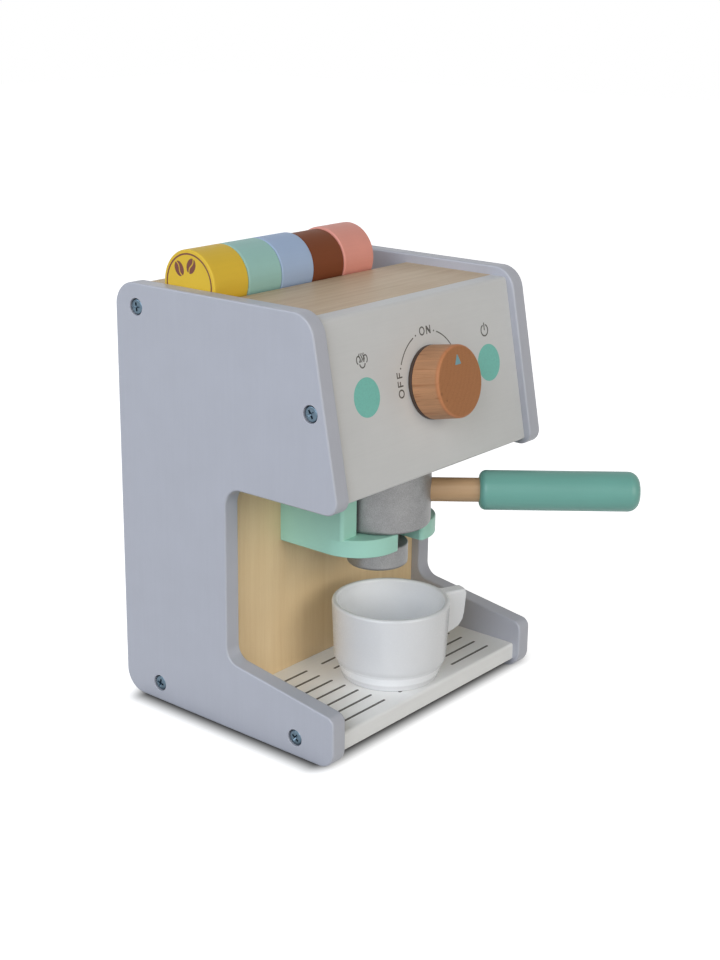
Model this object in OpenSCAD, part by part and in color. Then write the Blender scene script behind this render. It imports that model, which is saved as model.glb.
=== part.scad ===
// Toy coffee maker for a play kitchen: two C-shaped side panels hold plain and painted boards,
// a fork for a lift-out filter basket, a turning knob, a trough of capsules and a cup.
// The front faces -Y, the origin is on the floor below the middle of the casing.

/* [Casing] */
// Width over the side panels
case_w = 170; // [150:1:200]
// Depth of the side panels
case_d = 146; // [142:1:170]
// Height of the side panels
case_h = 224; // [215:1:250]
// Thickness of every board
board_t = 9.5; // [8:0.5:10.5]
// Lean of the front edges and of the front panel, in degrees
lean = 11; // [6:0.5:14]
// Height of the underside of the head
head_z = 130.2; // [128:0.2:136]
// How far the head's lower corner stands ahead of the foot
head_reach = 2; // [0:0.5:8]
// Height of the side panel's foot at its front end
foot_h = 27.3; // [22:0.1:34]
// Rise of the foot towards the back, in degrees
foot_rise = 8.3; // [0:0.1:12]

/* [Side panel corners] */
// Radius of the upper back corner
top_back_r = 12.5; // [4:0.5:16]
// Radius of the upper front corner
top_front_r = 13; // [4:0.5:18]
// Radius of the head's lower corner
head_low_r = 7; // [3:0.5:12]
// Radius of the corner above the opening
notch_top_r = 10; // [4:0.5:14]
// Radius of the corner below the opening
notch_low_r = 8; // [4:0.5:14]
// Radius of the foot's upper corner
toe_top_r = 5; // [2:0.5:8]
// Radius of the foot's lower corner
toe_low_r = 9; // [4:0.5:11]
// Radius of the lower back corner
heel_r = 12; // [4:0.5:16]

/* [Boards] */
// Depth of the top board below the side panels' top edges
top_inset = 4.8; // [2:0.2:8]
// Depth of the front panel and tray board behind the front edges
front_inset = 3.8; // [2:0.2:6]
// Height of the tray board above the floor
floor_inset = 5.1; // [3:0.1:8]
// Depth of the back board ahead of the back edges
back_inset = 10; // [4:0.5:14]
// Depth of the back board's top edge below the side panels' top edges
back_drop = 1.6; // [0:0.2:4]
// Clear width of the capsule trough, front to back
trough_w = 41; // [38:0.5:46]
// Depth of the trough below the top board
trough_depth = 11.7; // [8:0.1:16]
// How far the side panels' upright edges stand ahead of the bay board
post_lip = 5; // [2:0.5:8]
// Height of the front panel's lower edge above the underside of the head
panel_lift = 3.4; // [1:0.2:6]
// Radius along the front panel's upper edge
panel_edge_r = 2.5; // [1:0.5:4]
// Radius along the tray board's front edge
tray_edge_r = 1.6; // [0.6:0.2:3]

/* [Knob] */
// Diameter of the knob at its base
knob_d = 37.2; // [30:0.2:46]
// Diameter of the knob at its face
knob_face_d = 36.2; // [29:0.2:45]
// Length of the knob
knob_l = 16; // [12:0.2:22]
// Thickness of the dark washer behind the knob, which is as wide as the knob
knob_ring_t = 1.9; // [0.8:0.1:4]
// Radius round the knob's face
knob_edge_r = 1.4; // [0.6:0.2:3]
// Height of the knob's centre above the middle of the front panel
knob_rise = 1.1; // [0:0.1:6]
// Distance of the knob's centre to the right of the casing's middle
knob_aside = 1.4; // [-3:0.1:3]
// Diameter of the knob screw
knob_screw_d = 4; // [3:0.2:5]

/* [Fork and bracket] */
// Width of the fork and the bracket block
fork_w = 75.4; // [64:0.2:84]
// Distance of the fork's middle to the right of the casing's middle, where the slot is
fork_aside = -0.7; // [-2:0.1:2]
// Height of the fork plate's underside
fork_z = 89; // [84:0.5:90]
// Distance from the bay board to the basket's axis
basket_reach = 36.5; // [34:0.5:38]
// Distance from the basket's axis to the fork's front edge
fork_tip = 19.2; // [14:0.2:22]
// Radius of the fork's front corners
fork_corner_r = 23.5; // [8:0.5:26]
// Width of the fork's slot
slot_w = 19; // [14:0.2:20]
// Radius of the corners at the mouth of the slot
slot_mouth_r = 2; // [1:0.2:4]
// How far the bracket block wraps past the basket's axis
block_wrap = 5; // [0:0.5:6]
// Height of the bracket block
block_h = 29; // [24:0.5:30]
// Radius of the bracket block's upright edges
block_edge_r = 2; // [1:0.5:6]

/* [Filter basket] */
// Outer diameter of the basket
basket_d = 50.8; // [44:0.2:54]
// Height of the basket
basket_h = 30.4; // [26:0.2:31]
// Thickness of the basket's floor
basket_floor = 5; // [3:0.2:6]
// Radius round the basket's lower edge
basket_edge_r = 2; // [0.6:0.2:2.4]
// Diameter of the spout disc
spout_d = 32; // [24:0.2:36]
// Height of the spout disc
spout_h = 11.8; // [8:0.2:14]
// How far the spout disc sits off the basket's axis, away from the handle
spout_shift = 2; // [0:0.2:3]
// Diameter of the handle dowel
dowel_d = 12.6; // [8:0.2:14]
// Height of the handle above the basket's underside
handle_rise = 17.2; // [15:0.2:21]
// Diameter of the grip
grip_d = 20.8; // [17:0.2:24]
// Length of the grip
grip_l = 82.5; // [60:0.5:100]
// Distance from the basket's axis to the grip
grip_from = 50; // [44:0.2:60]
// Angle of the handle from straight ahead, in degrees
handle_turn = 39.5; // [0:0.5:55]

/* [Capsules] */
// Diameter of a capsule
capsule_d = 34.8; // [30:0.2:35.6]
// Length of a capsule
capsule_l = 24.4; // [18:0.2:27]
// Radius round a capsule's ends
capsule_edge_r = 0.9; // [0.4:0.1:2]

/* [Cup] */
// Outer diameter of the cup's rim
cup_d = 62.6; // [50:0.2:66]
// Height of the cup
cup_h = 42; // [34:0.2:54]
// Thickness of the cup's wall at the rim
cup_wall = 3; // [2:0.1:4]
// How far the cup stands ahead of the basket's axis
cup_forward = 7.2; // [0:0.1:9]
// Reach of the ear from the cup's rim
ear_out = 13.9; // [10:0.1:20]
// Height of the ear
ear_h = 25; // [20:0.5:28]
// Thickness of the ear
ear_t = 7.4; // [5:0.2:10]
// Angle of the ear from the right, towards the front, in degrees
ear_turn = 21.8; // [0:0.2:60]

/* [Screws and dowels] */
// Diameter of a casing screw
screw_d = 3.8; // [3:0.1:4.2]
// Length of a casing screw under its head
screw_l = 26; // [20:1:32]
// Diameter of a screw head
screw_head_d = 8; // [6.5:0.1:8.6]
// Diameter of a glue dowel
peg_d = 6; // [4:0.2:6.4]
// Length of a glue dowel
peg_l = 22; // [16:1:30]

/* [Hidden] */
// Smoothness of round surfaces, and of the small arcs in an outline
round_fn = 96;
small_fn = 32;
arc_steps = 8;
// Overrun of every cut past the face that it leaves
over = 1;
// Radial gap of a glued peg or a screw in its hole, and between flat faces that turn on each other
fit_gap = 0.05;
// Radial running gap of the knob screw in the front panel
run_gap = 0.08;
// Gap round the basket in its bracket block, and round its neck in the slot
basket_gap = 2.2;
neck_gap = 0.7;
// Gap between the basket and the fork below it, and between the fork and the spout disc below that
fork_gap = 0.3;
spout_gap = 1.2;
// Gaps between capsules, below them, and between them and the top board
capsule_gap = 0.2;
capsule_lift = 0.3;
capsule_rest_gap = 1.1;
// Gap between a capsule and the basket's hollow, and between a screw head and its counterbore
hollow_gap = 1.2;
head_gap = 0.35;
// Shares of a board's length at which its outer glue dowels sit, and of its thickness that they enter
peg_spread_share = 0.27;
peg_sink_share = 0.6;

// Places that the sizes give, from front to back and from the floor up
front_y = -case_d / 2;
back_y = case_d / 2;
inner_x = case_w / 2 - board_t;
tray_z = floor_inset + board_t;
top_z = case_h - top_inset;
back_top_z = case_h - back_drop;
panel_low_z = head_z + panel_lift;
under_top_z = top_z - board_t;
back_board_y = back_y - back_inset - board_t;
trough_y = back_board_y - trough_w;
bay_y = trough_y - board_t;
notch_y = bay_y - post_lip;
shelf_z = top_z - trough_depth;
basket_y = bay_y - basket_reach;
fork_top_z = fork_z + board_t;
knob_z = (panel_low_z + top_z) / 2 + knob_rise * cos(lean);

// Y of the side panels' front edge at a height, and of the front panel's face
function edge_y(z) = front_y - head_reach + (z - head_z) * tan(lean);
function panel_y(z) = edge_y(z) + front_inset / cos(lean);
panel_slice = board_t / cos(lean);

// Direction from one point to another, and a point moved towards another
function heading(a, b) = (b - a) / norm(b - a);
function towards(a, b, step) = a + heading(a, b) * step;

// Arc that rounds the corner at point b between points a and c
function corner_arc(a, b, c, r) =
    let (u = heading(b, a),
         v = heading(b, c),
         half = acos(u * v) / 2,
         centre = towards(b, b + u + v, r / sin(half)),
         start = towards(b, a, r / tan(half)) - centre,
         side = u[0] * v[1] - u[1] * v[0] > 0 ? -1 : 1,
         turn = side * (180 - 2 * half))
    [for (i = [0 : arc_steps])
        let (angle = turn * i / arc_steps)
        centre + [start[0] * cos(angle) - start[1] * sin(angle),
                  start[0] * sin(angle) + start[1] * cos(angle)]];

// Outline through corners given as [x, y, radius], each rounded where its radius is over zero
function rounded(corners) =
    let (count = len(corners))
    [for (i = [0 : count - 1])
        let (here = corners[i],
             before = corners[(i + count - 1) % count],
             after = corners[(i + 1) % count],
             b = [here[0], here[1]])
        each here[2] > 0
            ? corner_arc([before[0], before[1]], b, [after[0], after[1]], here[2])
            : [b]];

// Extrudes an outline in Y and Z along X, centred on the middle plane
module along_x(length) {
    rotate([90, 0, 90]) linear_extrude(length, center = true) children();
}

// Cylinder along X between two places
module rod_x(from_x, to_x, d) {
    translate([min(from_x, to_x), 0, 0])
        rotate([0, 90, 0]) cylinder(h = abs(to_x - from_x), d = d, $fn = small_fn);
}

// Board between the side panels, from its front lower corner
module plain_board(y, z, depth, height) {
    translate([-inner_x, y, z]) cube([2 * inner_x, depth, height]);
}

// Solid turned about Z from an outline of radii and heights
module turned(outline) {
    rotate_extrude($fn = round_fn) polygon(outline);
}

/* Casing */

screw_head_h = 2.2;
counterbore_d = screw_head_d + 2 * head_gap;
counterbore_depth = 2.6;
cross_l = 4.6;
cross_w = 1.1;
cross_depth = 1.2;
cross_turn = 30;
tray_screw_in = 21.1;
tray_screw_back = 15.3;
back_screw_drop = 10.5;

// Y and Z of the four casing screws on each side
tray_screw_z = tray_z - board_t / 2;
case_screws = [
    [panel_y(knob_z) + panel_slice / 2, knob_z],
    [front_y + front_inset + tray_screw_in, tray_screw_z],
    [back_board_y + board_t - tray_screw_back, tray_screw_z],
    [back_board_y + board_t / 2, back_top_z - back_screw_drop],
];

// Y and Z of the glue dowels on each side
peg_z_low = tray_z + (under_top_z - tray_z) * peg_spread_share;
peg_z_high = under_top_z - (under_top_z - tray_z) * peg_spread_share;
bay_pegs = [for (z = [peg_z_low, peg_z_high]) [bay_y + board_t / 2, z]];
top_front_y = panel_y(top_z) + panel_slice;
top_pegs = [for (share = [peg_spread_share, 1 - peg_spread_share])
    [top_front_y + (trough_y - top_front_y) * share, top_z - board_t / 2]];
shelf_pegs = [for (share = [peg_spread_share, 1 - peg_spread_share])
    [trough_y + trough_w * share, shelf_z - board_t / 2]];
// Depth of a glue dowel in the side panel
peg_sink = board_t * peg_sink_share;

// Places its children at each [y, z] of a list
module at_each(places) {
    for (p = places) translate([0, p[0], p[1]]) children();
}

// Outline of a side panel in Y and Z
foot_back_z = foot_h + (notch_y - front_y) * tan(foot_rise);
side_outline = rounded([
    [front_y, 0, toe_low_r],
    [back_y, 0, heel_r],
    [back_y, case_h, top_back_r],
    [edge_y(case_h), case_h, top_front_r],
    [edge_y(head_z), head_z, head_low_r],
    [notch_y, head_z, notch_top_r],
    [notch_y, foot_back_z, notch_low_r],
    [front_y, foot_h, toe_top_r],
]);

module side_panel() {
    difference() {
        translate([case_w / 2 - board_t / 2, 0, 0]) along_x(board_t) polygon(side_outline);
        at_each(case_screws) {
            rod_x(inner_x - over, case_w / 2 + over, screw_d + 2 * fit_gap);
            rod_x(case_w / 2 - counterbore_depth, case_w / 2 + over, counterbore_d);
        }
        at_each(concat(bay_pegs, top_pegs, shelf_pegs))
            rod_x(inner_x - over, inner_x + peg_sink + fit_gap, peg_d + 2 * fit_gap);
    }
}

module right_side_panel() {
    color([0.69, 0.71, 0.78]) side_panel();
}

module left_side_panel() {
    color([0.69, 0.71, 0.78]) mirror([1, 0, 0]) side_panel();
}

// Holes for the casing screws in the boards' ends
module screw_pilots() {
    reach = screw_l + counterbore_depth + over;
    for (side = [-1, 1])
        at_each(case_screws)
            rod_x(side * (case_w / 2 - reach), side * case_w / 2, screw_d + 2 * fit_gap);
}

// Holes for glue dowels in the boards' ends
module peg_holes(places) {
    for (side = [-1, 1])
        at_each(places)
            rod_x(side * (inner_x + peg_sink - peg_l - fit_gap), side * (inner_x + over),
                  peg_d + 2 * fit_gap);
}

module tray_board() {
    front = front_y + front_inset;
    rear = back_board_y + board_t;
    outline = rounded([
        [front, floor_inset, 0],
        [rear, floor_inset, 0],
        [rear, tray_z, 0],
        [front, tray_z, tray_edge_r],
    ]);
    color([0.93, 0.93, 0.92])
    difference() {
        along_x(2 * inner_x) polygon(outline);
        screw_pilots();
    }
}

// Holes for the bracket screws, through the bay board
bracket_screw_in = 8;
bracket_screw_x = fork_w / 2 - bracket_screw_in;
bracket_screw_z = fork_top_z + block_h / 2;

module at_bracket_screws() {
    for (side = [-1, 1])
        translate([fork_aside + side * bracket_screw_x, trough_y, bracket_screw_z])
            rotate([90, 0, 0]) children();
}

module bay_board() {
    color([0.87, 0.77, 0.62])
    difference() {
        plain_board(bay_y, tray_z, board_t, under_top_z - tray_z);
        peg_holes(bay_pegs);
        at_bracket_screws() {
            translate([0, 0, -over])
                cylinder(h = board_t + 2 * over, d = screw_d + 2 * fit_gap, $fn = small_fn);
            translate([0, 0, -over])
                cylinder(h = counterbore_depth + over, d = counterbore_d, $fn = small_fn);
        }
    }
}

module back_board() {
    color([0.87, 0.77, 0.62])
    difference() {
        plain_board(back_board_y, tray_z, board_t, back_top_z - tray_z);
        screw_pilots();
    }
}

module top_board() {
    slope = board_t * tan(lean);
    color([0.87, 0.77, 0.62])
    difference() {
        along_x(2 * inner_x) polygon([
            [top_front_y, top_z],
            [top_front_y - slope, under_top_z],
            [trough_y, under_top_z],
            [trough_y, top_z],
        ]);
        peg_holes(top_pegs);
    }
}

module capsule_shelf() {
    color([0.87, 0.77, 0.62])
    difference() {
        plain_board(trough_y, shelf_z - board_t, trough_w, board_t);
        peg_holes(shelf_pegs);
    }
}

/* Front panel and knob */

washer_t = 1;
washer_hole_gap = 0.3;
washer_width_share = 3;
pan_head_h = 2.6;
pan_width_share = 1.9;
knob_bite_share = 0.68;
washer_d = knob_screw_d * washer_width_share;
pan_head_d = knob_screw_d * pan_width_share;
knob_bite = knob_l * knob_bite_share;

// Places its children on the front panel's face at the knob's centre, with Z straight out of the face
module on_panel() {
    translate([knob_aside, panel_y(knob_z), knob_z]) rotate([90 - lean, 0, 0]) children();
}

module front_panel() {
    color([0.93, 0.93, 0.92])
    difference() {
        along_x(2 * inner_x) polygon(rounded([
            [panel_y(panel_low_z), panel_low_z, panel_edge_r / 2],
            [panel_y(panel_low_z) + panel_slice, panel_low_z, 0],
            [panel_y(top_z) + panel_slice, top_z, 0],
            [panel_y(top_z), top_z, panel_edge_r],
        ]));
        screw_pilots();
        on_panel() translate([0, 0, -board_t - over])
            cylinder(h = board_t + 2 * over, d = knob_screw_d + 2 * run_gap, $fn = round_fn);
    }
}

knob_base = knob_ring_t + 2 * fit_gap;

module knob() {
    color([0.78, 0.58, 0.42])
    on_panel() translate([0, 0, knob_base]) difference() {
        turned(rounded([
            [0, 0, 0],
            [knob_d / 2, 0, knob_edge_r / 2],
            [knob_face_d / 2, knob_l, knob_edge_r],
            [0, knob_l, 0],
        ]));
        translate([0, 0, -over])
            cylinder(h = knob_bite + fit_gap + over, d = knob_screw_d + 2 * fit_gap, $fn = round_fn);
    }
}

// Flat washer on the knob's axis, from its lower face
module washer(z, thickness, d) {
    translate([0, 0, z]) difference() {
        cylinder(h = thickness, d = d, $fn = round_fn);
        translate([0, 0, -over])
            cylinder(h = thickness + 2 * over, d = knob_screw_d + 2 * washer_hole_gap, $fn = round_fn);
    }
}

module knob_washer() {
    color([0.3, 0.22, 0.17]) on_panel() washer(fit_gap, knob_ring_t, knob_d);
}

module screw_washer() {
    color([0.75, 0.76, 0.78]) on_panel() washer(-board_t - fit_gap - washer_t, washer_t, washer_d);
}

// Cross-shaped recess that a screwdriver enters, cut down from a head's top
module cross_recess() {
    for (turn = [0, 90])
        rotate([0, 0, turn]) translate([-cross_l / 2, -cross_w / 2, -cross_depth])
            cube([cross_l, cross_w, cross_depth + over]);
}

module knob_screw() {
    head_z0 = -board_t - 2 * fit_gap - washer_t - pan_head_h;
    color([0.75, 0.76, 0.78])
    on_panel() difference() {
        union() {
            translate([0, 0, head_z0]) cylinder(h = pan_head_h, d = pan_head_d, $fn = round_fn);
            translate([0, 0, head_z0 + pan_head_h])
                cylinder(h = knob_base + knob_bite - head_z0 - pan_head_h, d = knob_screw_d, $fn = round_fn);
        }
        translate([0, 0, head_z0]) mirror([0, 0, 1]) cross_recess();
    }
}

/* Fork and bracket block */

fork_left = fork_aside - fork_w / 2;
fork_right = fork_aside + fork_w / 2;

module fork_plate() {
    slot = slot_w / 2;
    tip_y = basket_y - fork_tip;
    slot_end_y = basket_y + slot;
    // The front corners fit the narrower prong
    corner_r = min(fork_corner_r, min(-fork_left, fork_right) - slot - slot_mouth_r);
    color([0.6, 0.82, 0.74])
    translate([0, 0, fork_z]) linear_extrude(board_t) polygon(rounded([
        [fork_left, bay_y, 0],
        [fork_left, tip_y, corner_r],
        [-slot, tip_y, slot_mouth_r],
        [-slot, slot_end_y, slot - fit_gap],
        [slot, slot_end_y, slot - fit_gap],
        [slot, tip_y, slot_mouth_r],
        [fork_right, tip_y, corner_r],
        [fork_right, bay_y, 0],
    ]));
}

module bracket_block() {
    front = basket_y - block_wrap;
    color([0.6, 0.82, 0.74])
    difference() {
        translate([0, 0, fork_top_z]) linear_extrude(block_h) difference() {
            polygon(rounded([
                [fork_left, bay_y, 0],
                [fork_left, front, block_edge_r],
                [fork_right, front, block_edge_r],
                [fork_right, bay_y, 0],
            ]));
            translate([0, basket_y]) circle(d = basket_d + 2 * basket_gap, $fn = round_fn);
        }
        at_bracket_screws() cylinder(h = counterbore_depth + screw_l + fit_gap, d = screw_d + 2 * fit_gap,
                                     $fn = small_fn);
    }
}

/* Filter basket */

hollow_d = capsule_d + 2 * hollow_gap;
neck_d = slot_w - 2 * neck_gap;
basket_z = fork_top_z + fork_gap;
spout_top_z = fork_z - spout_gap;
handle_z = basket_z + handle_rise;
spout_edge_r = 1.6;
spout_top_r = 0.8;
grip_edge_r = 4;
grip_end_r = 6;
// Shares of the basket's wall and of the grip that the handle dowel enters
dowel_sink_share = 0.8;
grip_sink_share = 0.48;
dowel_sink = (basket_d - hollow_d) / 2 * dowel_sink_share;
grip_sink = grip_l * grip_sink_share;

// Places its children on the basket's axis at floor level
module at_basket() {
    translate([0, basket_y, 0]) children();
}

// Places its children on the handle's axis, with X along the handle and away from the basket
module along_handle() {
    at_basket() translate([0, 0, handle_z]) rotate([0, 0, handle_turn - 90]) children();
}

module filter_basket() {
    color([0.62, 0.62, 0.64])
    difference() {
        at_basket() translate([0, 0, basket_z]) turned(rounded([
            [0, 0, 0],
            [basket_d / 2, 0, basket_edge_r],
            [basket_d / 2, basket_h, basket_edge_r / 2],
            [hollow_d / 2, basket_h, basket_edge_r / 2],
            [hollow_d / 2, basket_floor, 0],
            [0, basket_floor, 0],
        ]));
        along_handle()
            rod_x(basket_d / 2 - dowel_sink - fit_gap, basket_d / 2 + over, dowel_d + 2 * fit_gap);
    }
}

module spout() {
    neck_h = basket_z - fit_gap - spout_top_z;
    color([0.62, 0.62, 0.64])
    at_basket() union() {
        translate([0, 0, spout_top_z - over]) cylinder(h = neck_h + over, d = neck_d, $fn = round_fn);
        rotate([0, 0, handle_turn - 90]) translate([-spout_shift, 0, spout_top_z - spout_h]) turned(rounded([
            [0, 0, 0],
            [spout_d / 2, 0, spout_edge_r],
            [spout_d / 2, spout_h, spout_top_r],
            [0, spout_h, 0],
        ]));
    }
}

module handle_dowel() {
    color([0.84, 0.7, 0.53])
    along_handle() rod_x(basket_d / 2 - dowel_sink, grip_from + grip_sink, dowel_d);
}

module grip() {
    // The near edge is rounded no further than the dowel's hole
    edge_r = min(grip_edge_r, (grip_d - dowel_d) / 2 - fit_gap);
    color([0.35, 0.65, 0.56])
    along_handle() translate([grip_from, 0, 0]) rotate([0, 90, 0]) turned(rounded([
        [dowel_d / 2 + fit_gap, 0, 0],
        [grip_d / 2, 0, edge_r],
        [grip_d / 2, grip_l, grip_end_r],
        [0, grip_l, 0],
        [0, grip_sink + fit_gap, 0],
        [dowel_d / 2 + fit_gap, grip_sink + fit_gap, 0],
    ]));
}

/* Capsules */

capsule_r = capsule_d / 2;
// Height of a capsule's axis above the top board, which it leans on
capsule_proud = max(0, capsule_r - trough_depth);
capsule_y = trough_y + capsule_rest_gap + sqrt(capsule_r * capsule_r - capsule_proud * capsule_proud);
capsule_z = shelf_z + capsule_lift + capsule_r;
capsule_colours = [
    [0.93, 0.8, 0.3], [0.65, 0.83, 0.77], [0.68, 0.77, 0.9], [0.48, 0.27, 0.19], [0.92, 0.62, 0.56],
];

// One capsule, counted from the left
module capsule(place) {
    x = -inner_x + capsule_gap + place * (capsule_l + capsule_gap);
    color(capsule_colours[place])
    translate([x, capsule_y, capsule_z]) rotate([0, 90, 0]) turned(rounded([
        [0, 0, 0],
        [capsule_r, 0, capsule_edge_r],
        [capsule_r, capsule_l, capsule_edge_r],
        [0, capsule_l, 0],
    ]));
}

/* Cup */

// Shares of the cup's height at which its side turns, and of the rim's radius there, and of the cup's
// height and wall that round the belly and the rim
foot_height_share = 0.183;
belly_height_share = 0.238;
foot_width_share = 0.819;
crease_width_share = 0.895;
belly_width_share = 0.953;
belly_round_share = 0.19;
rim_round_share = 0.48;
ear_low_share = 0.8;
cup_floor = 5;
cup_foot_edge_r = 1;
cup_hollow_r = 12;
cup_hollow_taper = 1.4;
ear_drop = 1;
ear_taper = 1.8;
ear_top_r = 1.6;
ear_low_r = 7;
cup_y = basket_y - cup_forward;
rim_r = cup_d / 2;
foot_r = rim_r * foot_width_share;
ear_reach = rim_r + ear_out;

// Outer outline of the cup in radius and height, from the axis up to the rim's outer edge
cup_side = [
    [0, 0, 0],
    [foot_r, 0, cup_foot_edge_r],
    [rim_r * crease_width_share, cup_h * foot_height_share, 0],
    [rim_r * belly_width_share, cup_h * belly_height_share, cup_h * belly_round_share],
    [rim_r, cup_h, cup_wall * rim_round_share],
];
cup_hollow = [
    [rim_r - cup_wall, cup_h, cup_wall * rim_round_share],
    [rim_r - cup_wall - cup_hollow_taper, cup_floor, cup_hollow_r],
    [0, cup_floor, 0],
];

// Places its children on the cup's axis, on top of the tray board
module at_cup() {
    translate([0, cup_y, tray_z]) children();
}

module cup_body() {
    color([0.94, 0.94, 0.95])
    at_cup() turned(rounded(concat(cup_side, cup_hollow)));
}

module cup_ear() {
    root = rim_r - cup_wall;
    ear_top = cup_h - ear_drop;
    color([0.94, 0.94, 0.95])
    at_cup() difference() {
        rotate([0, 0, -ear_turn]) rotate([90, 0, 0]) linear_extrude(ear_t, center = true)
            polygon(rounded([
                [root, ear_top - ear_h, 0],
                [ear_reach - ear_taper, ear_top - ear_h * ear_low_share, ear_low_r],
                [ear_reach, ear_top, ear_top_r],
                [root, ear_top, 0],
            ]));
        turned(rounded(concat(cup_side, [[0, cup_h, 0]])));
    }
}

/* Screws and glue dowels */

// Casing screw with its head's top at zero, pointing down
module casing_screw() {
    difference() {
        union() {
            translate([0, 0, -screw_head_h]) turned(rounded([
                [0, 0, 0],
                [screw_head_d / 2, 0, 0],
                [screw_head_d / 2, screw_head_h, screw_head_h / 2],
                [0, screw_head_h, 0],
            ]));
            translate([0, 0, -screw_head_h - screw_l])
                cylinder(h = screw_l + over, d = screw_d, $fn = small_fn);
        }
        cross_recess();
    }
}

module right_panel_screws() {
    color([0.78, 0.8, 0.82])
    at_each(case_screws)
        translate([case_w / 2 - counterbore_depth + screw_head_h, 0, 0]) rotate([0, 90, 0])
            rotate([0, 0, cross_turn]) casing_screw();
}

module left_panel_screws() {
    color([0.78, 0.8, 0.82])
    at_each(case_screws)
        translate([-case_w / 2 + counterbore_depth - screw_head_h, 0, 0]) rotate([0, -90, 0])
            rotate([0, 0, cross_turn]) casing_screw();
}

module bracket_screws() {
    color([0.78, 0.8, 0.82])
    at_bracket_screws() translate([0, 0, counterbore_depth - screw_head_h]) mirror([0, 0, 1]) casing_screw();
}

// Glue dowels at both ends of a board
module pegs(places) {
    color([0.84, 0.7, 0.53])
    for (side = [-1, 1])
        at_each(places)
            rod_x(side * (inner_x + peg_sink - peg_l), side * (inner_x + peg_sink), peg_d);
}

module bay_dowels() { pegs(bay_pegs); }

module top_dowels() { pegs(top_pegs); }

module shelf_dowels() { pegs(shelf_pegs); }

/* Nodes */

left_side_panel();
right_side_panel();
tray_board();
bay_board();
back_board();
top_board();
capsule_shelf();
front_panel();
fork_plate();
bracket_block();
knob();
knob_washer();
knob_screw();
screw_washer();
filter_basket();
spout();
handle_dowel();
grip();
cup_body();
cup_ear();
capsule(0);  // capsule_yellow
capsule(1);  // capsule_mint
capsule(2);  // capsule_blue
capsule(3);  // capsule_brown
capsule(4);  // capsule_pink
left_panel_screws();
right_panel_screws();
bracket_screws();
bay_dowels();
top_dowels();
shelf_dowels();
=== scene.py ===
"""Looks of the toy coffee maker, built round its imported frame.

Lengths are in millimetres in the frame of the part's source, until MM turns them into metres.
"""

import math

import bmesh
import bpy
from mathutils import Matrix, Vector


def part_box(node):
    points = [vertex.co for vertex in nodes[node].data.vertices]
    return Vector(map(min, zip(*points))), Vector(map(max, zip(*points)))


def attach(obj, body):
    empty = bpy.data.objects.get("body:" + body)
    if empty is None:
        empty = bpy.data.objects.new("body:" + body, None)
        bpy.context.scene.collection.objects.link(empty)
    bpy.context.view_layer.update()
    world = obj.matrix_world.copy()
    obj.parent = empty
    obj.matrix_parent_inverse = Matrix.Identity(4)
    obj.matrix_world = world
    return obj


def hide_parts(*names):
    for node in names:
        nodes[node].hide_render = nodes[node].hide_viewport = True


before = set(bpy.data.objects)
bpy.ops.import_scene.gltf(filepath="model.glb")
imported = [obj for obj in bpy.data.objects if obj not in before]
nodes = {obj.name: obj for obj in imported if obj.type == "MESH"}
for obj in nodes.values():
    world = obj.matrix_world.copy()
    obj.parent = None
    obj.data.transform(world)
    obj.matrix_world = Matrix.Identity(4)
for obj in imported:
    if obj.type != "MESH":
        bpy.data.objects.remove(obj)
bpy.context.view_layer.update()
MM = 0.001


def limits(node):
    """Lowest and highest corner of a node in millimetres."""
    return [Vector(corner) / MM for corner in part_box(node)]


# Places of the casing, read from the frame
side_low, side_high = limits("right_side_panel")
HALF_W, INNER_X = side_high.x, side_low.x
BOARD = HALF_W - INNER_X
BACK_Y, TOP_Z = side_high.y, side_high.z
FRONT_Y = -BACK_Y
tray_low, tray_high = limits("tray_board")
TRAY_FRONT, TRAY_LOW, TRAY_TOP = tray_low.y, tray_low.z, tray_high.z
bay_low, bay_high = limits("bay_board")
BAY_Y, TROUGH_Y = bay_low.y, bay_high.y
rear_low, rear_high = limits("back_board")
BACK_BOARD_Y, BACK_BOARD_TOP = rear_low.y, rear_high.z
lid_low, lid_high = limits("top_board")
UNDER_TOP, BOARD_TOP = lid_low.z, lid_high.z
SHELF_TOP = limits("capsule_shelf")[1].z
PANEL_LOW = limits("front_panel")[0].z

# Sizes of the casing that the boxes don't give, as in the part's source
LEAN = math.radians(11)
HEAD_Z, HEAD_REACH = 130.2, 2.0
FOOT_H, FOOT_BACK_Z = 27.3, 37.66
NOTCH_Y = BAY_Y - 5.0
FRONT_INSET = 3.8
PANEL_SLICE, PANEL_INSET = BOARD / math.cos(LEAN), FRONT_INSET / math.cos(LEAN)
KNOB_X, KNOB_Z = 1.4, 177.48
SCREW_DEPTH, HEAD_R, HEAD_H, SHANK_R, SHANK_L = 2.6, 4.0, 2.2, 1.9, 26.0
COUNTERBORE_R = 4.35
TRAY_SCREW_IN, TRAY_SCREW_BACK, BACK_SCREW_DROP, BLOCK_SCREW_IN = 21.1, 15.3, 10.5, 8.0

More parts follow.
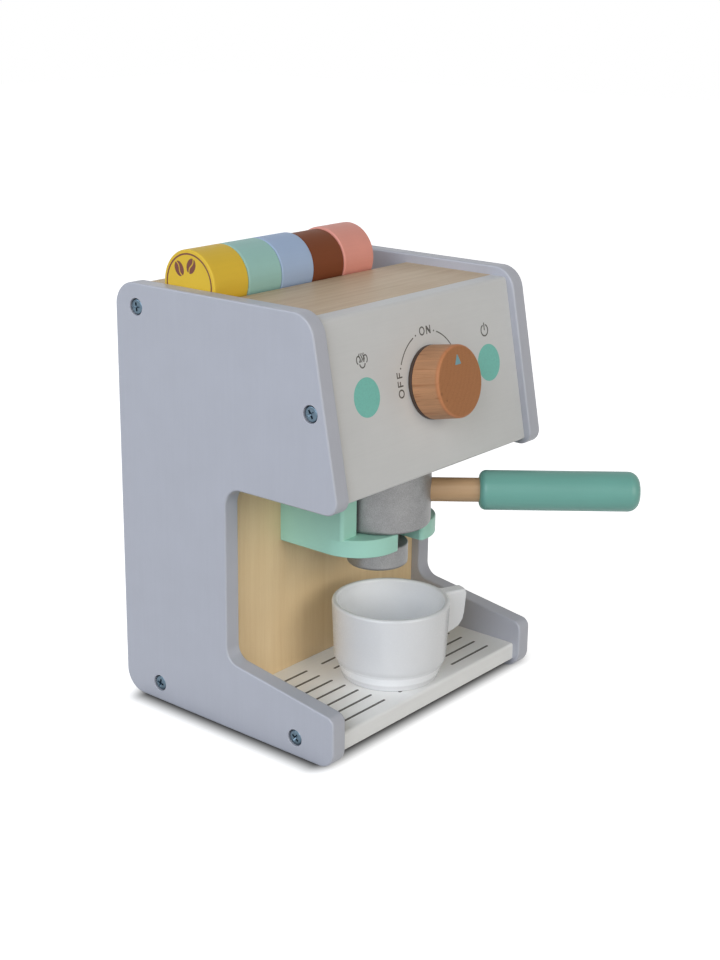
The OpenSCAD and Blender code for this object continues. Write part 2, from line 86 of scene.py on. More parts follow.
# Places of the fork, the filter holder, the cup and the capsules, read from the frame too
fork_low, fork_high = limits("fork_plate")
FORK_LEFT, FORK_RIGHT, FORK_FRONT = fork_low.x, fork_high.x, fork_low.y
FORK_LOW, FORK_TOP = fork_low.z, fork_high.z
block_low, block_high = limits("bracket_block")
BLOCK_FRONT, BLOCK_TOP = block_low.y, block_high.z
basket_low, basket_high = limits("filter_basket")
BASKET_Y, BASKET_LOW = (basket_low.y + basket_high.y) / 2, basket_low.z
BASKET_R, BASKET_H = (basket_high.x - basket_low.x) / 2, basket_high.z - basket_low.z
SPOUT_LOW = limits("spout")[0].z
rod_low, rod_high = limits("handle_dowel")
grip_low, grip_high = limits("grip")
ROD_R, GRIP_R = (rod_high.z - rod_low.z) / 2, (grip_high.z - grip_low.z) / 2
HANDLE_Z = (rod_low.z + rod_high.z) / 2
cup_low, cup_high = limits("cup_body")
CUP_Y, CUP_H = (cup_low.y + cup_high.y) / 2, cup_high.z - cup_low.z
pod_low, pod_high = limits("capsule_yellow")
CAPSULE_FROM, CAPSULE_L = pod_low.x, pod_high.x - pod_low.x
CAPSULE_PITCH = limits("capsule_mint")[0].x - pod_low.x
CAPSULE_R = (pod_high.z - pod_low.z) / 2
CAPSULE_Y, CAPSULE_Z = (pod_low.y + pod_high.y) / 2, (pod_low.z + pod_high.z) / 2

# What the boxes don't give of the handle and the cup
HANDLE_ANGLE, EAR_ANGLE = math.radians(-50.5), math.radians(-21.8)
RIM_R = 31.3


def edge_y(z):
    """Y of the side panels' front edge at a height."""
    return FRONT_Y - HEAD_REACH + (z - HEAD_Z) * math.tan(LEAN)


def panel_y(z):
    """Y of the front panel's face at a height."""
    return edge_y(z) + PANEL_INSET


TRAY_BACK, TRAY_MIDDLE = BACK_BOARD_Y + BOARD, (TRAY_LOW + TRAY_TOP) / 2
CASE_SCREWS = [
    (panel_y(KNOB_Z) + PANEL_SLICE / 2, KNOB_Z),
    (TRAY_FRONT + TRAY_SCREW_IN, TRAY_MIDDLE),
    (TRAY_BACK - TRAY_SCREW_BACK, TRAY_MIDDLE),
    (BACK_BOARD_Y + BOARD / 2, BACK_BOARD_TOP - BACK_SCREW_DROP),
]


def frame_at(origin, x_axis, y_axis):
    """Matrix of a local frame from its origin and its first two axes, in millimetres."""
    x = Vector(x_axis).normalized()
    y = Vector(y_axis).normalized()
    z = x.cross(y)
    m = Matrix((x, y, z)).transposed().to_4x4()
    m.translation = Vector(origin)
    return m


UP = Vector((0, 0, 1))
PANEL_UP = Vector((0, math.sin(LEAN), math.cos(LEAN)))
PANEL_OUT = Vector((0, -math.cos(LEAN), math.sin(LEAN)))
ON_PANEL = frame_at((0, panel_y(KNOB_Z), KNOB_Z), (1, 0, 0), PANEL_UP)
KNOB_AXIS = ON_PANEL @ Matrix.Translation((KNOB_X, 0, 0))
ACROSS = frame_at((0, 0, 0), (0, 1, 0), (0, 0, 1))
HANDLE = Vector((math.cos(HANDLE_ANGLE), math.sin(HANDLE_ANGLE), 0))
HANDLE_SIDE = UP.cross(HANDLE)
ALONG_HANDLE = frame_at((0, BASKET_Y, HANDLE_Z), HANDLE_SIDE, UP)
AT_BASKET = Matrix.Translation((0, BASKET_Y, 0))
AT_CUP = Matrix.Translation((0, CUP_Y, TRAY_TOP))


# Outlines
def corner_arc(a, b, c, radius, steps):
    """Points that round the corner b between a and c."""
    u = (a - b).normalized()
    v = (c - b).normalized()
    half = u.angle(v) / 2
    centre = b + (u + v).normalized() * (radius / math.sin(half))
    start = b + u * (radius / math.tan(half)) - centre
    end = b + v * (radius / math.tan(half)) - centre
    first = math.atan2(start.y, start.x)
    turn = (math.atan2(end.y, end.x) - first + math.pi) % math.tau - math.pi
    angles = [first + turn * i / steps for i in range(steps + 1)]
    return [centre + Vector((math.cos(w), math.sin(w))) * radius for w in angles]


def rounded(corners, steps):
    """Outline through corners given as (x, y, radius), each rounded where its radius is over zero."""
    points = []
    count = len(corners)
    for i, (x, y, radius) in enumerate(corners):
        here = Vector((x, y))
        if radius <= 0:
            points.append(here)
            continue
        before = Vector(corners[i - 1][:2])
        after = Vector(corners[(i + 1) % count][:2])
        points += corner_arc(before, here, after, radius, steps)
    return points


def area(points):
    """Signed area of an outline, over zero where it runs anticlockwise."""
    return sum(a.cross(b) for a, b in zip(points, points[1:] + points[:1])) / 2


def inset(points, distance):
    """The outline moved inwards by a distance."""
    if distance == 0:
        return list(points)
    side = 1 if area(points) > 0 else -1
    moved = []
    for i, here in enumerate(points):
        a = (here - points[i - 1]).normalized()
        b = (points[(i + 1) % len(points)] - here).normalized()
        na = Vector((-a.y, a.x)) * side
        nb = Vector((-b.y, b.x)) * side
        moved.append(here + (na + nb) * (distance / (1 + na.dot(nb))))
    return moved


# Meshes
RIM_STEPS = 4
WELD, ON_AXIS = 1e-4, 1e-6


def add_walls(bm, rings, looped):
    """Faces between neighbouring rings of vertices, where a ring may also be a single one."""
    count = max(len(ring) for ring in rings)
    pairs = list(zip(rings, rings[1:]))
    if looped:
        pairs.append((rings[-1], rings[0]))
    for low, high in pairs:
        for i in range(count):
            j = (i + 1) % count
            ends = (low[i % len(low)], low[j % len(low)], high[j % len(high)], high[i % len(high)])
            corners = list(dict.fromkeys(ends))
            if len(corners) > 2:
                bm.faces.new(corners)


def add_rings(bm, rings, matrix, looped=False):
    """Closed surface through rings of points that have the same count."""
    made = [[bm.verts.new(matrix @ Vector(p)) for p in ring] for ring in rings]
    add_walls(bm, made, looped)
    if not looped:
        bm.faces.new(made[0])
        bm.faces.new(made[-1])


def add_slab(bm, outline, low, high, edge, matrix, plain_foot=False):
    """Plate of an outline between two heights, both its rims rounded by edge, or only the upper one."""
    rim = []
    for i in range(RIM_STEPS + 1):
        angle = math.pi / 2 * i / RIM_STEPS
        rim.append((edge * (1 - math.sin(angle)), edge * (1 - math.cos(angle))))
    foot = [(0, 0)] if plain_foot else rim
    rings = [(d, low + z) for d, z in foot] + [(d, high - z) for d, z in reversed(rim)]
    add_rings(bm, [[(p.x, p.y, z) for p in inset(outline, d)] for d, z in rings], matrix)


def add_turned(bm, profile, matrix, segments=144, looped=False):
    """Solid turned about Z from (radius, height) points, from the axis to the axis unless looped."""
    turn = [math.tau * i / segments for i in range(segments)]
    rings = []
    for radius, height in profile:
        around = turn if radius > ON_AXIS else [0]
        ring = [(radius * math.cos(w), radius * math.sin(w), height) for w in around]
        rings.append([bm.verts.new(matrix @ Vector(p)) for p in ring])
    add_walls(bm, rings, looped)


def mesh_of(bm, name):
    """Mesh in metres from a bmesh in millimetres."""
    bmesh.ops.remove_doubles(bm, verts=bm.verts, dist=WELD)
    bmesh.ops.recalc_face_normals(bm, faces=bm.faces)
    bm.transform(Matrix.Scale(MM, 4))
    mesh = bpy.data.meshes.new(name)
    bm.to_mesh(mesh)
    bm.free()
    return mesh


def new_object(name, bm):
    """Object that holds a bmesh."""
    obj = bpy.data.objects.new(name, mesh_of(bm, name))
    bpy.context.scene.collection.objects.link(obj)
    return obj


def carve(obj, tool, operation="DIFFERENCE"):
    """Cuts tool out of obj, or joins it to obj, and removes tool."""
    step = obj.modifiers.new("carve", "BOOLEAN")
    step.operation = operation
    step.solver = "EXACT"
    step.object = tool
    graph = bpy.context.evaluated_depsgraph_get()
    mesh = bpy.data.meshes.new_from_object(obj.evaluated_get(graph))
    obj.modifiers.clear()
    before = obj.data
    obj.data = mesh
    bpy.data.meshes.remove(before)
    bpy.data.objects.remove(tool)
    mesh.name = obj.name


def finish_piece(obj, body, material, replaced=(), sharp=33):
    """Shades a piece smooth up to edges sharper than sharp degrees, and sets it on its body."""
    mesh = obj.data
    mesh.materials.clear()
    mesh.materials.append(material)
    mesh.polygons.foreach_set("use_smooth", [True] * len(mesh.polygons))
    mesh.set_sharp_from_angle(angle=math.radians(sharp))
    weighted = obj.modifiers.new("even_normals", "WEIGHTED_NORMAL")
    weighted.keep_sharp = True
    weighted.weight = 80
    if replaced:
        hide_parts(*replaced)
    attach(obj, body)


def slab_piece(name, outline, low, high, edge, matrix, body, material, replaced, plain_foot=False):
    """Plate with rounded rims, as a finished piece."""
    bm = bmesh.new()
    add_slab(bm, outline, low, high, edge, matrix, plain_foot)
    finish_piece(new_object(name, bm), body, material, replaced)


def turned_piece(name, profile, matrix, body, material, replaced, segments=144, looped=False):
    """Turned solid, as a finished piece."""
    bm = bmesh.new()
    add_turned(bm, profile, matrix, segments, looped)
    finish_piece(new_object(name, bm), body, material, replaced)


# Printed marks, whose ink stands a hair proud of the paint and reaches into it
INK_LOW, INK_TOP = -0.03, 0.05
END_STEPS, END_TIP = 5, 0.03
SHARPEST_TURN = 0.5


def add_plate(bm, outline, matrix):
    """Thin printed shape on the plane z = 0 of a local frame."""
    add_rings(bm, [[(p[0], p[1], z) for p in outline] for z in (INK_LOW, INK_TOP)], matrix)


def add_band(bm, points, width, matrix, closed=False):
    """Thin printed line along points, with round ends unless it is closed."""
    points = [Vector(p) for p in points]
    half = width / 2
    stations = []
    count = len(points)
    for i, here in enumerate(points):
        before = points[i - 1] if closed or i > 0 else here
        after = points[(i + 1) % count] if closed or i < count - 1 else here
        a = (here - before).normalized() if before != here else (after - here).normalized()
        b = (after - here).normalized() if after != here else a
        side = Vector((-a.y, a.x)) + Vector((-b.y, b.x))
        side = side / max(side.length_squared / 2, SHARPEST_TURN)
        stations.append((here, side * half))
    if not closed:
        quarter = [math.pi / 2 * k / END_STEPS for k in range(END_STEPS, 0, -1)]
        ends = []
        for (here, side), (near, _) in ((stations[0], stations[1]), (stations[-1], stations[-2])):
            out = (here - near).normalized()
            ends.append([(here + out * (half * math.sin(w)), side * max(math.cos(w), END_TIP))
                         for w in quarter])
        stations = ends[0] + stations + ends[1][::-1]
    rings = []
    for p, s in stations:
        four = ((p - s, INK_LOW), (p + s, INK_LOW), (p + s, INK_TOP), (p - s, INK_TOP))
        rings.append([(q.x, q.y, z) for q, z in four])
    add_rings(bm, rings, matrix, looped=closed)


def circle(cx, cy, rx, ry=None, first=0.0, last=360.0, steps=48):
    """Points of an ellipse or of a part of it, angles in degrees."""
    ry = rx if ry is None else ry
    full = abs(last - first) >= 360
    count = steps if full else steps + 1
    angles = [math.radians(first + (last - first) * i / steps) for i in range(count)]
    return [(cx + rx * math.cos(w), cy + ry * math.sin(w)) for w in angles]


# Materials
class Shade:
    """Short calls that build the nodes of one material."""

    def __init__(self, name):
        self.material = bpy.data.materials.new(name)
        self.material.use_nodes = True
        self.tree = self.material.node_tree
        self.surface = self.tree.nodes["Principled BSDF"]
        self.place = self.add("ShaderNodeTexCoord").outputs["Object"]

    def feed(self, socket, value):
        """Links a socket to another, or sets its value."""
        if isinstance(value, bpy.types.NodeSocket):
            self.tree.links.new(value, socket)
        else:
            socket.default_value = value

    def add(self, kind, inputs=None, **settings):
        """New node with its settings and inputs."""
        node = self.tree.nodes.new(kind)
        for key, value in settings.items():
            setattr(node, key, value)
        for key, value in (inputs or {}).items():
            self.feed(node.inputs[key], value)
        return node

    def set(self, **values):
        """Sets the shader's own sockets, with underscores for spaces."""
        for key, value in values.items():
            self.feed(self.surface.inputs[key.replace("_", " ")], value)

    def vector(self, operation, a, b=(0, 0, 0)):
        """One sum on two vectors, as a vector."""
        return self.add("ShaderNodeVectorMath", {0: a, 1: b}, operation=operation).outputs[0]

    def measure(self, operation, a, b=(0, 0, 0)):
        """One sum on two vectors, as a number."""
        return self.add("ShaderNodeVectorMath", {0: a, 1: b}, operation=operation).outputs["Value"]

    def scaled(self, vector, factors):
        """A vector times three factors."""
        return self.vector("MULTIPLY", vector, factors)

    def moved(self, vector, offset):
        """A vector plus an offset."""
        return self.vector("ADD", vector, offset)

    def flat(self, vector):
        """A vector without its third part."""
        return self.scaled(vector, (1, 1, 0))

    def third(self, vector):
        """The third part of a vector."""
        return self.add("ShaderNodeSeparateXYZ", {0: vector}).outputs[2]

    def aligned(self, along, across, origin=(0, 0, 0)):
        """Places in millimetres from an origin, as (across, sideways, along) of a direction."""
        along, across = Vector(along).normalized(), Vector(across).normalized()
        place = self.moved(self.place, tuple(-v * MM for v in origin))
        place = self.scaled(place, (1 / MM,) * 3)
        axes = (across, along.cross(across), along)
        parts = [self.measure("DOT_PRODUCT", place, tuple(axis)) for axis in axes]
        return self.add("ShaderNodeCombineXYZ", dict(enumerate(parts))).outputs[0]

    def noise(self, vector, scale, detail=2.0, roughness=0.5, distortion=0.0):
        """Fractal noise about one half."""
        inputs = {"Vector": vector, "Scale": scale, "Detail": detail, "Roughness": roughness}
        return self.add("ShaderNodeTexNoise", {**inputs, "Distortion": distortion}).outputs[0]

    def stretched(self, vector, factors, detail, roughness, distortion=0.0):
        """Fractal noise drawn out along an axis, from its cells per millimetre on each axis."""
        return self.noise(self.scaled(vector, factors), 1.0, detail, roughness, distortion)

    def ramp(self, value, stops):
        """Grey ramp from (place, level) stops."""
        node = self.add("ShaderNodeValToRGB", {0: value})
        elements = node.color_ramp.elements
        while len(elements) < len(stops):
            elements.new(0.5)
        for element, (place, level) in zip(elements, stops):
            element.position = place
            element.color = (level, level, level, 1)
        return node.outputs[0]

    def range(self, value, low, high, from_low=0.0, from_high=1.0, smooth=False):
        """A value carried from one range to another, held at its ends."""
        node = self.add("ShaderNodeMapRange", {0: value, 1: from_low, 2: from_high, 3: low, 4: high})
        if smooth:
            node.interpolation_type = "SMOOTHSTEP"
        return node.outputs[0]

    def swing(self, noise, amount, spread=0.2):
        """A noise carried to an amount below and above zero, where it is a spread off one half."""
        return self.range(noise, -amount, amount, 0.5 - spread, 0.5 + spread)

    def math(self, operation, a, b=0.0):
        """One sum on two values."""
        return self.add("ShaderNodeMath", {0: a, 1: b}, operation=operation).outputs[0]

    def total(self, first, *others):
        """Several values added up."""
        for other in others:
            first = self.math("ADD", first, other)
        return first

    def rings(self, vector, spacing, stops):
        """Year rings about the third axis, from how far apart they are and one ring's grey ramp."""
        distance = self.measure("LENGTH", self.flat(vector))
        return self.ramp(self.math("FRACT", self.math("DIVIDE", distance, spacing)), stops)

    def mix(self, factor, a, b, blend="MIX"):
        """Two colours mixed."""
        a, b = ((*c, 1) if isinstance(c, tuple) else c for c in (a, b))
        node = self.add("ShaderNodeMix", {0: factor, 6: a, 7: b}, data_type="RGBA", blend_type=blend)
        return node.outputs[2]

    def bump(self, height, distance, strength=1.0, normal=None):
        """Normal of a height in shares of a distance in metres."""
        inputs = {"Height": height, "Distance": distance, "Strength": strength}
        if normal is not None:
            inputs["Normal"] = normal
        return self.add("ShaderNodeBump", inputs).outputs[0]


def tint(colour, factor):
    """A colour times a factor, or times one factor for each channel."""
    factors = factor if isinstance(factor, (tuple, list)) else (factor,) * 3
    return tuple(c * f for c, f in zip(colour, factors))


def paint(name, colour, along, across, rough, grain=1.0, specular=0.5):
    """Sprayed satin paint on wood: a fine peel, a slight mottle and a ghost of the grain below it."""
    s = Shade(name)
    local = s.aligned(along, across)
    fibre = s.stretched(local, (0.9, 0.9, 0.03), 4, 0.6)
    mottle = s.noise(local, 0.045, 3, 0.55)
    speck = s.noise(local, 2.6, 2, 0.6)
    peel = s.noise(local, 0.9, 3, 0.55)
    tone = s.total(s.swing(mottle, 0.5), s.swing(fibre, 0.28 * grain), s.swing(speck, 0.22))
    tone = s.range(tone, 0.0, 1.0, -1.0, 1.0)
    s.set(Base_Color=s.mix(tone, tint(colour, 0.955), tint(colour, 1.035)))
    s.set(Roughness=s.range(s.total(mottle, speck), rough - 0.06, rough + 0.08, 0.7, 1.3))
    s.set(Specular_IOR_Level=specular)
    s.set(Normal=s.bump(fibre, 0.00004 * grain, 0.35, s.bump(peel, 0.00003, 0.5)))
    return s.material


def board_wood(name, light, dark, along, across, pith, spacing=3.4, streak=0.3, rough=0.46, specular=0.4):
    """Sawn and sanded pale wood: year rings about a pith line, streaks, pores and a thin clear coat."""
    s = Shade(name)
    local = s.aligned(along, across, pith)
    bend = s.scaled(s.stretched(local, (0.03, 0.03, 0.006), 3, 0.55), (14, 9, 0))
    ring = s.rings(s.moved(local, bend), spacing, [(0.0, 0.15), (0.55, 0.5), (0.86, 1.0), (1.0, 0.15)])
    streaks = s.stretched(local, (0.34, 0.34, 0.007), 4, 0.6)
    fibre = s.stretched(local, (3.2, 3.2, 0.09), 3, 0.65)
    pores = s.stretched(local, (6.5, 6.5, 0.5), 1, 0.5)
    cloud = s.noise(local, 0.02, 2, 0.5)
    tone = s.total(s.math("MULTIPLY", ring, 0.22), s.swing(streaks, streak, 0.25),
                   s.swing(fibre, 0.2, 0.25), s.swing(cloud, 0.18))
    colour = s.mix(s.range(tone, 0.0, 1.0, -0.45, 0.95), light, dark)
    flecks = s.range(pores, 0.0, 0.3, 0.68, 0.8, smooth=True)
    s.set(Base_Color=s.mix(flecks, colour, tint(dark, 0.72)))
    s.set(Roughness=s.range(fibre, rough - 0.05, rough + 0.12, 0.3, 0.7))
    s.set(Specular_IOR_Level=specular)
    s.set(Normal=s.bump(pores, 0.00003, 0.3, s.bump(fibre, 0.00005, 0.5)))
    return s.material


# Colours, in linear light, each about what the surface shows at a light level of one
LAVENDER = (0.475, 0.485, 0.54)
WHITE = (0.66, 0.66, 0.655)
TRAY_WHITE = (0.89, 0.89, 0.88)
MINT = (0.415, 0.745, 0.625)
DOT_GREEN = (0.19, 0.535, 0.46)
GRIP_GREEN = (0.147, 0.383, 0.326)
YELLOW = (0.795, 0.53, 0.049)
PALE_MINT = (0.34, 0.585, 0.54)
PALE_BLUE = (0.385, 0.5, 0.705)
BROWN = (0.214, 0.065, 0.0275)
PINK = (0.79, 0.33, 0.266)
CUP_WHITE = (0.78, 0.785, 0.8)
# Lighter white for the cup's inner wall and floor: painted light, not a different paint
CUP_INSIDE_LIT = (0.95, 0.96, 0.98)
WOOD_LIGHT = (0.86, 0.67, 0.41)
WOOD_DARK = (0.72, 0.51, 0.27)
TOP_LIGHT = (0.68, 0.54, 0.38)
TOP_DARK = (0.52, 0.365, 0.22)
ROD_LIGHT = (0.54, 0.355, 0.20)
ROD_DARK = (0.42, 0.25, 0.125)
KNOB_SIDE = (0.53, 0.272, 0.14)
KNOB_END = (0.385, 0.162, 0.061)
SILVER_LIGHT = (0.37, 0.37, 0.373)
SILVER_DARK = (0.18, 0.18, 0.183)
ZINC = (0.11, 0.155, 0.19)
WASHER_BROWN = (0.055, 0.032, 0.022)
PRINT_BROWN = (0.17, 0.045, 0.03)
PRINT_GREY = (0.085, 0.08, 0.072)
MARK_BLUE = (0.17, 0.33, 0.36)


def cup_enamel(name):
    """Glossy white enamel with a faint mottle and a fine peel, painted lighter inside the cup as painted
    light there.
    """
    s = Shade(name)
    local = s.aligned((0, 0, 1), (1, 0, 0), (0, CUP_Y, 0))
    from_axis = s.measure("LENGTH", s.flat(local))
    # Mask of the cup's inner wall and floor, where light is painted in
    inside = s.range(from_axis, 1.0, 0.0, RIM_R - 2.6, RIM_R - 1.8, smooth=True)
    above = s.range(s.third(local), 0.0, 1.0, TRAY_TOP + 3.0, TRAY_TOP + 4.0)
    mottle = s.noise(local, 0.06, 3, 0.55)
    speck = s.noise(local, 2.4, 2, 0.6)
    peel = s.noise(local, 0.7, 3, 0.55)
    # Painted light: the inside takes the lighter white
    colour = s.mix(s.math("MULTIPLY", inside, above), CUP_WHITE, CUP_INSIDE_LIT)
    dull = s.range(s.total(mottle, speck), 0.0, 1.0, 0.75, 1.25)
    s.set(Base_Color=s.mix(dull, colour, (0.965, 0.97, 0.975), "MULTIPLY"))
    s.set(Roughness=s.range(speck, 0.2, 0.3, 0.3, 0.7))
    s.set(Normal=s.bump(peel, 0.00003, 0.45))
    return s.material


def ink(name, colour, rough=0.5):
    """Screen-printed ink, slightly uneven, over the paint below it."""
    s = Shade(name)
    patch = s.noise(s.place, 900, 3, 0.6)
    thin = s.noise(s.place, 4200, 2, 0.6)
    tone = s.range(s.total(s.swing(patch, 0.5), s.swing(thin, 0.4)), 0, 1, -0.9, 0.9)
    s.set(Base_Color=s.mix(tone, tint(colour, 0.9), tint(colour, 1.12)))
    s.set(Roughness=s.range(patch, rough - 0.06, rough + 0.08, 0.3, 0.7))
    s.set(Normal=s.bump(thin, 0.00001, 0.4))
    return s.material


def silver_paint(name):
    """Metallic paint on wood: dull aluminium with fine flakes."""
    s = Shade(name)
    flake = s.noise(s.place, 3000, 3, 0.75)
    cloud = s.noise(s.place, 190, 3, 0.6)
    peel = s.noise(s.place, 1300, 3, 0.6)
    tone = s.range(s.total(s.swing(flake, 0.85), s.swing(cloud, 0.2)), 0, 1, -0.9, 0.9)
    s.set(Base_Color=s.mix(tone, SILVER_DARK, SILVER_LIGHT))
    s.set(Roughness=s.range(flake, 0.38, 0.5, 0.3, 0.7))
    s.set(Metallic=0.5, Specular_IOR_Level=0.5)
    s.set(Normal=s.bump(flake, 0.00002, 0.35, s.bump(peel, 0.00004, 0.4)))
    return s.material


KNOTS = ((-16.3, -3.4, 1.3), (-12.6, -7.3, 0.8))


def beech(name, along, across, origin, side, end, face_from):
    """Oiled beech turned on its grain: growth lines and flecks on the side, rings and pores on the end."""
    s = Shade(name)
    local = s.aligned(along, across, origin)
    pith = s.moved(local, (31.0, -22.0, 0))
    bend = s.scaled(s.stretched(local, (0.05, 0.05, 0.02), 3, 0.6), (7.0, 5.0, 0))
    ring = s.rings(s.moved(pith, bend), 3.1, [(0.0, 0.05), (0.6, 0.32), (0.88, 1.0), (1.0, 0.05)])
    streaks = s.stretched(local, (0.42, 0.42, 0.02), 4, 0.62)
    fibre = s.stretched(local, (3.6, 3.6, 0.16), 3, 0.65)
    flecks = s.stretched(local, (2.2, 2.2, 0.8), 2, 0.5, 0.3)

    # The side: growth lines, flecks, a few dark lines and a reddish band next to the face
    tone = s.total(s.math("MULTIPLY", ring, 0.34), s.swing(streaks, 0.55, 0.25), s.swing(fibre, 0.25, 0.25))
    side_colour = s.mix(s.range(tone, 0, 1, -0.5, 0.95), tint(side, 1.13), tint(side, 0.72))
    dark = s.range(flecks, 0.0, 0.5, 0.64, 0.76, smooth=True)
    side_colour = s.mix(dark, side_colour, tint(side, 0.6))
    bands = s.stretched(local, (0.3, 0.3, 0.008), 2, 0.4)
    middle = s.math("ABSOLUTE", s.math("SUBTRACT", bands, 0.5))
    line = s.range(middle, 0.55, 0.0, 0.0, 0.02, smooth=True)
    side_colour = s.mix(line, side_colour, tint(side, (0.62, 0.42, 0.34)))
    height = s.third(local)
    near_end = s.range(height, 0.0, 0.65, face_from - 2.4, face_from - 0.6, smooth=True)
    side_colour = s.mix(near_end, side_colour, tint(side, (1.02, 0.72, 0.55)))

    # The face: rings, pores, rays and two dark spots
    pores = s.noise(local, 4.2, 2, 0.6)
    rays = s.stretched(local, (0.5, 3.4, 0.2), 2, 0.5)
    tone = s.total(s.math("MULTIPLY", ring, 0.3), s.swing(pores, 0.5, 0.25), s.swing(rays, 0.25, 0.25))
    end_colour = s.mix(s.range(tone, 0, 1, -0.6, 0.9), tint(end, 1.12), tint(end, 0.8))
    for x, y, size in KNOTS:
        apart = s.measure("DISTANCE", s.flat(local), (x, y, 0))
        near = s.range(apart, 0.75, 0.0, 0.2, size, smooth=True)
        end_colour = s.mix(near, end_colour, tint(end, 0.42))

    on_end = s.range(height, 0.0, 1.0, face_from, face_from + 0.3)
    s.set(Base_Color=s.mix(on_end, side_colour, end_colour))
    s.set(Roughness=s.range(fibre, 0.38, 0.5, 0.3, 0.7), Specular_IOR_Level=0.2)
    s.set(Normal=s.bump(s.total(fibre, s.math("MULTIPLY", ring, 0.3)), 0.00006, 0.5))
    return s.material


def steel(name, colour, rough=0.3):
    """Zinc-plated steel with a faint blue cast and worn highlights."""
    s = Shade(name)
    patch = s.range(s.noise(s.place, 900, 3, 0.6), 0, 1, 0.3, 0.7)
    scratch = s.noise(s.scaled(s.place, (1, 1, 6)), 2500, 2, 0.6)
    s.set(Base_Color=s.mix(patch, tint(colour, (0.82, 0.88, 0.95)), tint(colour, 1.12)), Metallic=1.0)
    s.set(Roughness=s.range(scratch, rough - 0.05, rough + 0.14, 0.3, 0.7))
    s.set(Normal=s.bump(scratch, 0.00002, 0.3))
    return s.material


def plastic(name, colour):
    """Matt rubbery plastic with a fine grain."""
    s = Shade(name)
    grain = s.noise(s.place, 2600, 3, 0.6)
    s.set(Base_Color=s.mix(grain, tint(colour, 0.93), tint(colour, 1.05)))
    s.set(Roughness=s.range(grain, 0.42, 0.56, 0.3, 0.7))
    s.set(Normal=s.bump(grain, 0.00003, 0.4))
    return s.material


ALONG_X, ALONG_Y, ALONG_Z = (1, 0, 0), (0, 1, 0), (0, 0, 1)
KNOB_FACE = 18.0
grey_paint = paint("grey_paint", LAVENDER, ALONG_Z, ALONG_Y, 0.38)
white_paint = paint("white_paint", WHITE, ALONG_X, ALONG_Y, 0.42)
tray_paint = paint("tray_paint", TRAY_WHITE, ALONG_X, ALONG_Y, 0.42)
mint_paint = paint("mint_paint", MINT, ALONG_X, ALONG_Y, 0.38, 1.0, 0.2)
grip_paint = paint("grip_paint", GRIP_GREEN, HANDLE, UP, 0.4, 1.3)
cup_paint = cup_enamel("cup_enamel")
bay_wood = board_wood("bay_wood", WOOD_LIGHT, WOOD_DARK, ALONG_Z, ALONG_X, (-30, 160, 0))
back_wood = board_wood("back_wood", WOOD_LIGHT, WOOD_DARK, ALONG_Z, ALONG_X, (40, -140, 0))
top_wood = board_wood("top_wood", TOP_LIGHT, TOP_DARK, ALONG_X, ALONG_Y, (0, -20, 60), 3.0, 0.5, 0.4, 0.22)
shelf_wood = board_wood("shelf_wood", WOOD_LIGHT, WOOD_DARK, ALONG_X, ALONG_Y, (0, 60, 90))
dowel_wood = board_wood("dowel_wood", ROD_LIGHT, ROD_DARK, HANDLE, UP, (12, -20, 150), 2.4)
peg_wood = board_wood("peg_wood", ROD_LIGHT, ROD_DARK, ALONG_X, UP, (0, 20, 30), 2.4)
knob_wood = beech("knob_wood", PANEL_OUT, ALONG_X, KNOB_AXIS.translation, KNOB_SIDE, KNOB_END,
                  KNOB_FACE - 0.25)
silver = silver_paint("silver_paint")
zinc = steel("zinc_steel", ZINC)
# Dark brown ring that fills the gap between the knob and the panel
dark_knob_ring = plastic("dark_knob_ring", WASHER_BROWN)
print_grey = ink("print_grey", PRINT_GREY)
print_green = ink("print_green", DOT_GREEN)
print_brown = ink("print_brown", PRINT_BROWN)
print_blue = ink("print_blue", MARK_BLUE)


# Casing: corner radii, a counterbore's lip as (outwards, up), play in holes, and a cutter's overreach
HEEL_R, TOE_LOW_R, TOE_TOP_R, BACK_TOP_R, FRONT_TOP_R, CHIN_R = 12, 9, 5, 12.5, 13, 7
NOTCH_TOP_R, NOTCH_LOW_R = 10, 8
PANEL_EDGE_R, BOARD_EDGE_R = 1.0, 0.35
BORE_LIP = ((0.0, -0.35), (0.12, -0.12), (0.4, 0.05), (0.4, 1.0))
SIDE_STEPS, BOARD_STEPS = 16, 6
PLAY, OVER = 0.05, 1.0


def side_panel(name, side, node):
    """One side panel with its counterbored screw holes."""
    outline = rounded([
        (FRONT_Y, 0, TOE_LOW_R), (BACK_Y, 0, HEEL_R), (BACK_Y, TOP_Z, BACK_TOP_R),
        (edge_y(TOP_Z), TOP_Z, FRONT_TOP_R), (edge_y(HEAD_Z), HEAD_Z, CHIN_R),
        (NOTCH_Y, HEAD_Z, NOTCH_TOP_R), (NOTCH_Y, FOOT_BACK_Z, NOTCH_LOW_R), (FRONT_Y, FOOT_H, TOE_TOP_R),
    ], SIDE_STEPS)
    low, high = sorted((side * INNER_X, side * HALF_W))
    bm = bmesh.new()
    add_slab(bm, outline, low, high, PANEL_EDGE_R, ACROSS)
    panel = new_object(name, bm)
    hole_r, foot = SHANK_R + PLAY, -BOARD - OVER
    hole = [(0, foot), (hole_r, foot), (hole_r, -SCREW_DEPTH), (COUNTERBORE_R, -SCREW_DEPTH)]
    hole += [(COUNTERBORE_R + out, up) for out, up in BORE_LIP] + [(0, OVER)]
    bm = bmesh.new()
    for y, z in CASE_SCREWS:
        place = Matrix.Translation((side * HALF_W, y, z)) @ Matrix.Rotation(side * math.pi / 2, 4, "Y")
        add_turned(bm, hole, place, 64)
    carve(panel, new_object(name + "_holes", bm))
    finish_piece(panel, "casing", grey_paint, [node])


side_panel("left_panel", -1, "left_side_panel")
side_panel("right_panel", 1, "right_side_panel")


def cross_board(name, corners, material, node):
    """Board that runs from one side panel to the other, from its corners as (y, z, radius)."""
    outline = rounded(corners, BOARD_STEPS)
    slab_piece(name, outline, -INNER_X, INNER_X, BOARD_EDGE_R, ACROSS, "casing", material, [node])


